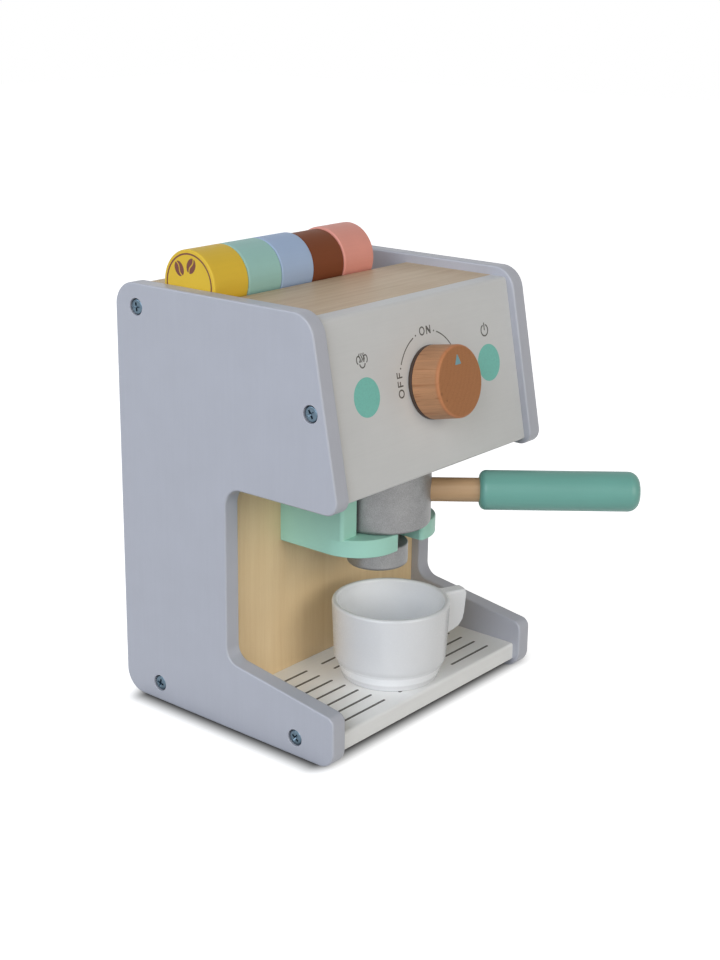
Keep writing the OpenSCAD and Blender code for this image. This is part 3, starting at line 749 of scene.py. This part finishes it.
def box_corners(y0, z0, y1, z1, radius):
    """Corners of a board's outline, each with the same small radius."""
    return [(y0, z0, radius), (y1, z0, radius), (y1, z1, radius), (y0, z1, radius)]


def panel_back(z):
    """Y of the front panel's rear face at a height."""
    return panel_y(z) + PANEL_SLICE


cross_board("tray", [(TRAY_FRONT, TRAY_LOW, 0.8), (TRAY_BACK, TRAY_LOW, 0.6), (TRAY_BACK, TRAY_TOP, 0.6),
                     (TRAY_FRONT, TRAY_TOP, 1.6)], tray_paint, "tray_board")
cross_board("bay_back", box_corners(BAY_Y, TRAY_TOP, TROUGH_Y, UNDER_TOP, 0.3), bay_wood, "bay_board")
cross_board("rear_board", box_corners(BACK_BOARD_Y, TRAY_TOP, TRAY_BACK, BACK_BOARD_TOP, 0.6), back_wood,
            "back_board")
cross_board("trough_floor", box_corners(TROUGH_Y, SHELF_TOP - BOARD, BACK_BOARD_Y, SHELF_TOP, 0.3),
            shelf_wood, "capsule_shelf")
cross_board("lid_board", [(panel_back(BOARD_TOP), BOARD_TOP, 0.3), (panel_back(UNDER_TOP), UNDER_TOP, 0.3),
                          (TROUGH_Y, UNDER_TOP, 0.3), (TROUGH_Y, BOARD_TOP, 0.8)],
            top_wood, "top_board")
cross_board("face_board", [(panel_y(PANEL_LOW), PANEL_LOW, 1.25), (panel_back(PANEL_LOW), PANEL_LOW, 0.5),
                           (panel_back(BOARD_TOP), BOARD_TOP, 0.3), (panel_y(BOARD_TOP), BOARD_TOP, 2.5)],
            white_paint, "front_panel")

# Fork and bracket block, whose paint runs on over the joint between them
SLOT_HALF, MOUTH_R, PRONG_R, FORK_EDGE = 9.5, 2.0, 23.5, 0.7
slot_end = BASKET_Y + SLOT_HALF
fork = rounded([
    (FORK_LEFT, BAY_Y, 0), (FORK_LEFT, FORK_FRONT, PRONG_R), (-SLOT_HALF, FORK_FRONT, MOUTH_R),
    (-SLOT_HALF, slot_end, SLOT_HALF - PLAY), (SLOT_HALF, slot_end, SLOT_HALF - PLAY),
    (SLOT_HALF, FORK_FRONT, MOUTH_R), (FORK_RIGHT, FORK_FRONT, PRONG_R), (FORK_RIGHT, BAY_Y, 0),
], SIDE_STEPS)
slab_piece("fork", fork, FORK_LOW, FORK_TOP, FORK_EDGE, Matrix.Identity(4), "casing", mint_paint,
           ["fork_plate"])

RECESS_R, BLOCK_EDGE_R, BLOCK_RIM = BASKET_R + 2.2, 2.0, 0.5
recess_from = math.degrees(math.asin((BLOCK_FRONT - BASKET_Y) / RECESS_R))
recess = [Vector(p) for p in circle(0, BASKET_Y, RECESS_R, None, 180 - recess_from, recess_from, 72)]
left_corner = rounded([(FORK_LEFT, BAY_Y, 0), (FORK_LEFT, BLOCK_FRONT, BLOCK_EDGE_R),
                       (recess[0].x, BLOCK_FRONT, 0)], 10)
right_corner = rounded([(recess[-1].x, BLOCK_FRONT, 0), (FORK_RIGHT, BLOCK_FRONT, BLOCK_EDGE_R),
                        (FORK_RIGHT, BAY_Y, 0)], 10)
slab_piece("holder_block", left_corner[:-1] + recess + right_corner[1:], FORK_TOP - FORK_EDGE, BLOCK_TOP,
           BLOCK_RIM, Matrix.Identity(4), "casing", mint_paint, ["bracket_block"],
           plain_foot=True)

# Filter holder
HOLLOW_R, BASKET_FLOOR = 18.6, 5.0
basket = [(p.x, p.y + BASKET_LOW) for p in rounded([
    (0, 0, 0), (BASKET_R, 0, 2.0), (BASKET_R, BASKET_H, 1.0), (HOLLOW_R, BASKET_H, 1.0),
    (HOLLOW_R, BASKET_FLOOR, 1.2), (0, BASKET_FLOOR, 0),
], 10)]
turned_piece("basket", basket, AT_BASKET, "filter_holder", silver, ["filter_basket"], 160)

SPOUT_TOP, SPOUT_R, SPOUT_ASIDE, NECK_R = FORK_LOW - 1.2, 16.0, -2.0, SLOT_HALF - 0.7
disc = rounded([(0, SPOUT_LOW, 0), (SPOUT_R, SPOUT_LOW, 1.6), (SPOUT_R, SPOUT_TOP, 0.8),
                (0, SPOUT_TOP, 0)], 8)
bm = bmesh.new()
add_turned(bm, disc, AT_BASKET @ Matrix.Translation(HANDLE * SPOUT_ASIDE), 128)
spout = new_object("spout_disc", bm)
neck_low, neck_top = SPOUT_TOP - OVER, BASKET_LOW - PLAY
bm = bmesh.new()
add_turned(bm, [(0, neck_low), (NECK_R, neck_low), (NECK_R, neck_top), (0, neck_top)], AT_BASKET, 96)
carve(spout, new_object("neck", bm), "UNION")
finish_piece(spout, "spout_slider", silver, ["spout"])

GRIP_FROM, GRIP_L, GRIP_SINK, ROD_SINK = 50.0, 82.45, 39.6, 5.44
rod_from, rod_to = BASKET_R - ROD_SINK, GRIP_FROM + GRIP_SINK
turned_piece("handle_rod", [(0, rod_from), (ROD_R, rod_from), (ROD_R, rod_to), (0, rod_to)], ALONG_HANDLE,
             "filter_holder", dowel_wood, ["handle_dowel"], 96)
HOLE_R, hole_end = ROD_R + PLAY, rod_to + PLAY
grip = [(p.x, p.y + GRIP_FROM) for p in rounded([
    (HOLE_R, 0, 0.3), (GRIP_R, 0, 3.6), (GRIP_R, GRIP_L, 6), (0, GRIP_L, 0)], 12)]
turned_piece("handle_grip", grip + [(0, hole_end), (HOLE_R, hole_end)], ALONG_HANDLE, "filter_holder",
             grip_paint, ["grip"], 128, looped=True)

# Knob, the dark ring behind it, and the triangle on its face
KNOB_BASE, KNOB_LOW_R, KNOB_FACE_R = 2.0, 18.6, 18.1
RING_HOLE_R, RING_LOW, RING_TOP = 2.3, PLAY, KNOB_BASE - PLAY
TRIANGLE = ((-2.8, 8.4, 0.3), (2.2, 8.4, 0.3), (-0.3, 13.8, 0.3))
knob = rounded([(0, KNOB_BASE, 0), (KNOB_LOW_R, KNOB_BASE, 0.7), (KNOB_FACE_R, KNOB_FACE, 1.4),
                (0, KNOB_FACE, 0)], 8)
turned_piece("dial_knob", knob, KNOB_AXIS, "turning_knob", knob_wood, ["knob"], 160)
ring = rounded([(RING_HOLE_R, RING_LOW, 0), (KNOB_LOW_R, RING_LOW, 0.3), (KNOB_LOW_R, RING_TOP, 0.3),
                (RING_HOLE_R, RING_TOP, 0)], 5)
turned_piece("knob_ring", ring, KNOB_AXIS, "turning_knob", dark_knob_ring, ["knob_washer"],
             160, looped=True)
bm = bmesh.new()
add_plate(bm, rounded(TRIANGLE, 4), KNOB_AXIS @ Matrix.Translation((0, 0, KNOB_FACE)))
finish_piece(new_object("knob_mark", bm), "turning_knob", print_blue)

# Capsules: name, slot, colour, how much smaller than its solid it is, and how much its paint shines
CAPSULES = [
    ("yellow", "yellow_paint", YELLOW, 0.0, 0.25), ("mint", "pale_mint_paint", PALE_MINT, 0.0, 0.4),
    ("blue", "blue_paint", PALE_BLUE, 0.0, 0.4), ("brown", "brown_paint", BROWN, 0.5, 0.08),
    ("pink", "pink_paint", PINK, 0.0, 0.4),
]
CAPSULE_EDGE = 0.9
for i, (colour, slot, tone, smaller, shine) in enumerate(CAPSULES):
    x0 = CAPSULE_FROM + i * CAPSULE_PITCH
    x1 = x0 + CAPSULE_L
    radius = CAPSULE_R - smaller
    profile = rounded([(0, x0, 0), (radius, x0, CAPSULE_EDGE), (radius, x1, CAPSULE_EDGE), (0, x1, 0)], 6)
    place = frame_at((0, CAPSULE_Y, CAPSULE_Z - smaller), ALONG_Y, ALONG_Z)
    coat = paint(f"{colour}_paint_coat", tone, ALONG_X, ALONG_Y, 0.45, 1.2, shine)
    turned_piece(f"{colour}_pod", profile, place, f"{colour}_capsule", coat, [f"capsule_{colour}"])

# The yellow capsule's left face carries a ring and two beans, with X to the front
LEFT_FACE = frame_at((CAPSULE_FROM, CAPSULE_Y, CAPSULE_Z), (0, -1, 0), ALONG_Z)
RING_R, RING_W = 15.2, 0.8
BEAN_W, BEAN_H, BEAN_END = 2.9, 4.0, 0.4
CREASE_SIDE, CREASE_BEND = 0.32, 0.5
BEANS = ((-6.6, 7.4, 30), (1.6, 9.4, -24))
bm = bmesh.new()
add_band(bm, circle(0, 0, RING_R, steps=96), RING_W, LEFT_FACE, closed=True)
for x, y, turn in BEANS:
    bean = LEFT_FACE @ Matrix.Translation((x, y, 0)) @ Matrix.Rotation(math.radians(turn), 4, "Z")
    for side in (-1, 1):
        crease = [(side * CREASE_SIDE + CREASE_BEND * math.sin(v * math.pi), v * (BEAN_H - BEAN_END))
                  for v in (k / 8 - 1 for k in range(17))]
        rim = [(side * BEAN_W * math.cos(math.radians(a)), BEAN_H * math.sin(math.radians(a)))
               for a in range(-80, 81, 8)]
        add_plate(bm, rim + crease[::-1], bean)
finish_piece(new_object("pod_print", bm), "yellow_capsule", print_brown)

# Cup: its outline from the foot over the step to the lip, and back down inside
CUP_WALL, CUP_FLOOR, CUP_LIP_R, CUP_INNER_R, CUP_TAPER = 3.0, 5.0, 1.45, 12, 1.4
CUP_FOOT_R, STEP_R, STEP_Z, SIDE_R, SIDE_Z, SIDE_BEND_R = 25.64, 28.0, 7.7, 29.83, 10.0, 7.4
cup_side = rounded([
    (0, 0, 0), (CUP_FOOT_R, 0, 1.0), (STEP_R, STEP_Z, 0.35), (SIDE_R, SIDE_Z, SIDE_BEND_R),
    (RIM_R, CUP_H, CUP_LIP_R), (RIM_R - CUP_WALL, CUP_H, CUP_LIP_R),
    (RIM_R - CUP_WALL - CUP_TAPER, CUP_FLOOR, CUP_INNER_R), (0, CUP_FLOOR, 0)], 14)
bm = bmesh.new()
add_turned(bm, cup_side, AT_CUP, 192)
cup = new_object("cup_with_ear", bm)

# Ear: its lower and upper edge as (radius, height), from the cup's wall to the tip
EAR_LOW = ((28.8, 15.3), (31.0, 16.1), (34.0, 16.9), (38.0, 18.3), (40.9, 20.0), (43.0, 23.0), (43.6, 26.0))
EAR_TOP = ((28.8, 41.2), (31.0, 41.1), (34.0, 41.0), (38.0, 41.0), (41.6, 41.0), (44.2, 41.0), (44.9, 39.4))
EAR_HALF, EAR_EDGE, EAR_FLARE, FLARE_SHARE, TIP_SHARE = 3.7, 1.3, 3.0, 0.8, 0.35
EAR_RINGS, TIP_RINGS = 36, 4


def between(points, share):
    """Point at a share of the way along points that count as evenly spaced."""
    at = share * (len(points) - 1)
    i = min(int(at), len(points) - 2)
    return tuple(a * (1 - at + i) + b * (at - i) for a, b in zip(points[i], points[i + 1]))


def ear_ring(low, high, half, grow_low=0.0, corner=EAR_EDGE):
    """Points of one section of the ear, its radii measured from the cup's axis."""
    length = math.dist(low, high)
    outline = rounded([(-half, -grow_low, corner), (half, -grow_low, corner), (half, length, corner),
                       (-half, length, corner)], 6)
    ring = []
    for p in outline:
        f = p.y / length
        radius = low[0] + (high[0] - low[0]) * f
        height = low[1] + (high[1] - low[1]) * f
        ring.append((math.sqrt(max(radius * radius - p.x * p.x, 0)), p.x, height))
    return ring


rings = []
for k in range(EAR_RINGS + 1):
    low, high = (between(points, k / EAR_RINGS) for points in (EAR_LOW, EAR_TOP))
    reach = max(0.0, min(1.0, (RIM_R + EAR_FLARE - low[0]) / EAR_FLARE))
    flare = EAR_FLARE * FLARE_SHARE * (1 - math.sqrt(1 - reach * reach))
    rings.append(ear_ring(low, high, EAR_HALF + flare, flare))
low, high = EAR_LOW[-1], EAR_TOP[-1]
for k in range(1, TIP_RINGS + 1):
    w = math.pi / 2 * k / TIP_RINGS
    out, shrink = EAR_EDGE * math.sin(w) * TIP_SHARE, EAR_EDGE * (1 - math.cos(w))
    rings.append(ear_ring((low[0] + out, low[1] + shrink), (high[0] + out, high[1] - shrink),
                          EAR_HALF - shrink, 0.0, max(EAR_EDGE - shrink, 0.05)))
bm = bmesh.new()
add_rings(bm, rings, AT_CUP @ Matrix.Rotation(EAR_ANGLE, 4, "Z"))
carve(cup, new_object("ear", bm), "UNION")
finish_piece(cup, "cup", cup_paint, ["cup_body", "cup_ear"], 38)

# Printed slot lines on the tray
SLOT_W, SLOT_ROWS, FIRST_ROW_Y, ROW_PITCH = 1.4, 7, -7.5, 8.83
SLOT_SPANS = ((-63.2, -28.8), (-17.2, 17.2), (28.8, 63.2))
bm = bmesh.new()
for row in range(SLOT_ROWS):
    y = FIRST_ROW_Y - ROW_PITCH * row
    for x0, x1 in SLOT_SPANS:
        ends = [(x0 + SLOT_W / 2, y), (x1 - SLOT_W / 2, y)]
        add_band(bm, ends, SLOT_W, Matrix.Translation((0, 0, TRAY_TOP)))
finish_piece(new_object("tray_lines", bm), "casing", print_grey)

# Marks on the front panel, printed a little off its middle
PRINT_AT, PRINT_TURN = (1.2, 1.5, 0), math.radians(-0.45)
PRINT = ON_PANEL @ Matrix.Translation(PRINT_AT) @ Matrix.Rotation(PRINT_TURN, 4, "Z")
DOT_X, DOT_R = 50.2, 9.6
bm = bmesh.new()
for x in (-DOT_X, DOT_X):
    add_plate(bm, circle(x, 0, DOT_R, steps=96), PRINT)
finish_piece(new_object("face_dots", bm), "casing", print_green)

# The dial's arcs and points, by their angles, and its two words, the second one upright on the left
DIAL_R, LINE, POINT_R = 24.3, 0.6, 0.45
ON_Y, OFF_AT = 24.5, (-24.1, 1.3, 0)
ARCS, POINTS = ((115.0, 153.0), (27.0, 68.0)), (158.0, 109.0, 73.5, 22.0)
bm = bmesh.new()
for first, last in ARCS:
    add_band(bm, circle(0, 0, DIAL_R, None, first, last, 40), LINE, PRINT)
for angle in POINTS:
    w = math.radians(angle)
    add_plate(bm, circle(DIAL_R * math.cos(w), DIAL_R * math.sin(w), POINT_R, steps=16), PRINT)


def letter_o(bm, place):
    """Capital O about its middle."""
    half_w, half_h, stroke = 1.85, 1.9, 0.72
    add_band(bm, circle(0, 0, half_w, half_h, steps=48), stroke, place, closed=True)


def letter_n(bm, place):
    """Capital N about its middle: half an outline, and the same again after half a turn."""
    w, h, stroke, slant = 1.75, 2.1, 0.68, 1.75
    stem = stroke - w
    half = [(-w, -h), (stem, -h), (stem, h - slant), (-stem, -h), (w, -h)]
    add_plate(bm, half + [(-x, -y) for x, y in half], place)


def letter_f(bm, place):
    """Capital F about its middle."""
    w, h, stroke, arm, arm_low, arm_top = 1.5, 2.1, 0.68, 1.15, -0.35, 0.33
    stem, bar = stroke - w, h - stroke
    add_plate(bm, [(-w, -h), (stem, -h), (stem, arm_low), (arm, arm_low), (arm, arm_top), (stem, arm_top),
                   (stem, bar), (w, bar), (w, h), (-w, h)], place)


UPWARD = PRINT @ Matrix.Translation(OFF_AT) @ Matrix.Rotation(math.pi / 2, 4, "Z")
for letter, line, x, y in ((letter_o, PRINT, -2.5, ON_Y), (letter_n, PRINT, 2.65, ON_Y),
                           (letter_o, UPWARD, -4.4, 0), (letter_f, UPWARD, 0.45, 0),
                           (letter_f, UPWARD, 4.75, 0)):
    letter(bm, line @ Matrix.Translation((x, y, 0)))
finish_piece(new_object("dial_print", bm), "casing", print_grey)

# The mark over the right dot is a ring with a gap and a bar
POWER_AT, POWER_R, POWER_LINE = (49.4, 17.0, 0), 2.9, 0.75
bm = bmesh.new()
power = PRINT @ Matrix.Translation(POWER_AT)
add_band(bm, circle(0, 0, POWER_R, None, 118, 422, 40), POWER_LINE, power)
add_band(bm, [(0, 0.3), (0, 3.6)], POWER_LINE, power)
finish_piece(new_object("power_mark", bm), "casing", print_grey)

# The mark over the left dot is a bowl with three wisps of steam and a curl on each side
STEAM_AT, BOWL_LINE, STEAM_LINE, WISP_BEND, WISP_TURN = (-50.4, 17.8, 0), 0.7, 0.62, 0.35, 1.9
bm = bmesh.new()
steam = PRINT @ Matrix.Translation(STEAM_AT)
add_band(bm, circle(0, -1.2, 2.0, 2.3, 195, 345, 20), BOWL_LINE, steam)
for x in (-1.5, 0.0, 1.5):
    heights = [k * 0.35 - 0.6 for k in range(12)]
    add_band(bm, [(x + WISP_BEND * math.sin(t * WISP_TURN), t) for t in heights], STEAM_LINE, steam)
for side in (-1, 1):
    curl = circle(side * 2.6, 0.4, 1.35, 1.9, 90 - side * 150, 90 + side * 120, 24)
    add_band(bm, curl, STEAM_LINE, steam)
finish_piece(new_object("steam_mark", bm), "casing", print_grey)

# Screw: a shank with a blunt point, a pan head, and a cross recess as (height, half length, half width)
TIP_R, TIP_L = 1.0, 2.0
CROSS = ((-1.5, 1.035, 0.35), (-0.2, 2.3, 0.55), (0.5, 2.3, 0.55))
tip = -HEAD_H - SHANK_L
shank = [(0, tip), (TIP_R, tip), (SHANK_R, tip + TIP_L), (SHANK_R, -HEAD_H)]
head = rounded([(SHANK_R, -HEAD_H, 0), (HEAD_R, -HEAD_H, 0.2), (HEAD_R, -0.35, 1.0), (HEAD_R - 1.6, 0, 2.5),
                (0, 0, 0)], 6)
bm = bmesh.new()
add_turned(bm, shank + head[1:], Matrix.Identity(4), 48)
screw = new_object("screw_pattern", bm)
for name, turn in (("cross_one", 0), ("cross_two", math.pi / 2)):
    bm = bmesh.new()
    add_rings(bm, [[(-l, -w, z), (l, -w, z), (l, w, z), (-l, w, z)] for z, l, w in CROSS],
              Matrix.Rotation(turn, 4, "Z"))
    carve(screw, new_object(name, bm))


def screw_set(name, places, node):
    """Screws at several places, as one piece."""
    bm = bmesh.new()
    for place in places:
        one = screw.data.copy()
        one.transform(place @ Matrix.Scale(1 / MM, 4))
        bm.from_mesh(one)
        bpy.data.meshes.remove(one)
    finish_piece(new_object(name, bm), "casing", zinc, [node], 40)


HEAD_UP = HEAD_H - SCREW_DEPTH
FIRST_TURN, NEXT_TURN = 30, 23
for side, name in ((-1, "left"), (1, "right")):
    places = []
    for i, (y, z) in enumerate(CASE_SCREWS):
        place = Matrix.Translation((side * (HALF_W + HEAD_UP), y, z))
        place = place @ Matrix.Rotation(side * math.pi / 2, 4, "Y")
        places.append(place @ Matrix.Rotation(math.radians(FIRST_TURN + NEXT_TURN * i), 4, "Z"))
    screw_set(f"{name}_screws", places, f"{name}_panel_screws")
places = []
for x in (FORK_LEFT + BLOCK_SCREW_IN, FORK_RIGHT - BLOCK_SCREW_IN):
    place = Matrix.Translation((x, TROUGH_Y + HEAD_UP, (FORK_TOP + BLOCK_TOP) / 2))
    places.append(place @ Matrix.Rotation(-math.pi / 2, 4, "X"))
screw_set("block_screws", places, "bracket_screws")
bpy.data.objects.remove(screw)

# The nodes that stay as the frame has them
for node, material in (("knob_screw", zinc), ("screw_washer", zinc), ("bay_dowels", peg_wood),
                       ("top_dowels", peg_wood), ("shelf_dowels", peg_wood)):
    nodes[node].data.materials.clear()
    nodes[node].data.materials.append(material)

# Camera, as the photograph was taken: its turn, place and lens were fitted to the casing's edges
CAMERA_PLACE = (-614.104, -514.943, 370.192)
SENSOR, LENS, SHIFT_X, SHIFT_Y = 36, 59.198, 0.06047, -0.004216
YAW, PITCH, ROLL = (math.radians(v) for v in (48.8336, 17.6230, -0.2204))
scene = bpy.context.scene
camera = bpy.data.objects.new("camera", bpy.data.cameras.new("camera"))
scene.collection.objects.link(camera)
scene.camera = camera
forward = Vector((math.sin(YAW) * math.cos(PITCH), math.cos(YAW) * math.cos(PITCH), -math.sin(PITCH)))
level = Vector((math.cos(YAW), -math.sin(YAW), 0))
down = forward.cross(level)
x_axis = level * math.cos(ROLL) + down * math.sin(ROLL)
y_axis = level * math.sin(ROLL) - down * math.cos(ROLL)
view = Matrix((x_axis, y_axis, -forward)).transposed().to_4x4()
view.translation = Vector(CAMERA_PLACE) * MM
camera.matrix_world = view
camera.data.sensor_fit = "AUTO"
camera.data.sensor_width = SENSOR
camera.data.lens = LENS
camera.data.shift_x = SHIFT_X
camera.data.shift_y = SHIFT_Y


def plainly_seen(tree):
    """Socket that is one for rays from the camera, off glossy surfaces and through clear ones."""
    path = tree.nodes.new("ShaderNodeLightPath").outputs
    seen = path["Is Camera Ray"]
    for kind in ("Is Glossy Ray", "Is Transmission Ray"):
        either = tree.nodes.new("ShaderNodeMath")
        either.operation = "MAXIMUM"
        tree.links.new(seen, either.inputs[0])
        tree.links.new(path[kind], either.inputs[1])
        seen = either.outputs[0]
    return seen


# Floor of white paper. A contact shadow is painted on it round a box a little smaller than the casing's
# foot, over SHADE_X and
# SHADE_Y, and it is seen as plain white far from it
FLOOR_HALF, FLOOR_DROP = 4000, 0.2
SHADE_X, SHADE_Y, SHADE_FRONT = 18.0, 14.0, 1.5
INNER_HALF_X, INNER_HALF_Y = HALF_W - 3.2, BACK_Y - 14.0
NEAR_LIFT, FAR_LIFT, LIFT_FROM, LIFT_TO = 0.84, 1.0, 0.9, 2.2
PAPER_DARK, PAPER_LIGHT = (0.50,) * 3, (0.54,) * 3
bm = bmesh.new()
bmesh.ops.create_grid(bm, x_segments=2, y_segments=2, size=FLOOR_HALF)
floor = new_object("floor", bm)
floor.location.z = -FLOOR_DROP * MM
s = Shade("floor_paper")
paper = s.mix(s.noise(s.place, 260, 3, 0.6), PAPER_DARK, PAPER_LIGHT)
apart = s.vector("ABSOLUTE", s.moved(s.place, (0, SHADE_FRONT * MM, 0)))
apart = s.moved(s.scaled(apart, (1 / MM, 1 / MM, 0)), (-INNER_HALF_X, -INNER_HALF_Y, 0))
apart = s.vector("MAXIMUM", s.scaled(apart, (1 / SHADE_X, 1 / SHADE_Y, 0)))
apart = s.measure("LENGTH", apart)
# Painted contact shadow: the paper goes darker towards the box, down to black at it
shade = s.range(apart, 0.0, 1.0, smooth=True)
s.set(Base_Color=s.mix(shade, (0, 0, 0), paper), Roughness=0.9, Specular_IOR_Level=0.1)
# The painted shadow also dims the floor's white glow near the casing
strength = s.math("MULTIPLY", shade, s.range(apart, NEAR_LIFT, FAR_LIFT, LIFT_FROM, LIFT_TO))
strength = s.math("MULTIPLY", strength, plainly_seen(s.tree))
lift = s.add("ShaderNodeEmission", {"Color": (1, 1, 1, 1), "Strength": strength})
both = s.add("ShaderNodeAddShader", {0: s.surface.outputs[0], 1: lift.outputs[0]})
s.tree.links.new(both.outputs[0], s.tree.nodes["Material Output"].inputs["Surface"])
floor.data.materials.append(s.material)

# World: faint light from all round, seen as white
AMBIENT, AMBIENT_COLOUR = 0.05, (0.97, 0.985, 1.0, 1)
world = bpy.data.worlds.new("studio")
scene.world = world
world.use_nodes = True
tree = world.node_tree
back = tree.nodes["Background"]
back.inputs["Color"].default_value = AMBIENT_COLOUR
back.inputs["Strength"].default_value = AMBIENT
white = tree.nodes.new("ShaderNodeBackground")
white.inputs["Color"].default_value = (1, 1, 1, 1)
mixed = tree.nodes.new("ShaderNodeMixShader")
tree.links.new(plainly_seen(tree), mixed.inputs[0])
tree.links.new(back.outputs[0], mixed.inputs[1])
tree.links.new(white.outputs[0], mixed.inputs[2])
tree.links.new(mixed.outputs[0], tree.nodes["World Output"].inputs["Surface"])

# Lamps: name, place and size in metres, power and colour
LAMP_AIM = Vector((0, 0, 0.12))
LAMPS = (
    ("side", (-2.5, -0.8, 1.35), 2.0, 47.0, (0.89, 0.935, 1.0)),
    ("front", (-0.18, -2.9, 1.15), 1.8, 36.5, (1.0, 0.962, 0.885)),
    ("behind", (-2.1, 1.75, 2.1), 1.8, 36.0, (0.84, 0.91, 1.0)),
)
for name, place, size, power, colour in LAMPS:
    light = bpy.data.lights.new(name, "AREA")
    light.shape = "SQUARE"
    light.size = size
    light.energy = power
    light.color = colour
    lamp = bpy.data.objects.new(name, light)
    scene.collection.objects.link(lamp)
    lamp.location = place
    lamp.rotation_mode = "QUATERNION"
    lamp.rotation_quaternion = (LAMP_AIM - Vector(place)).to_track_quat("-Z", "Y")

scene.view_settings.view_transform = "Standard"
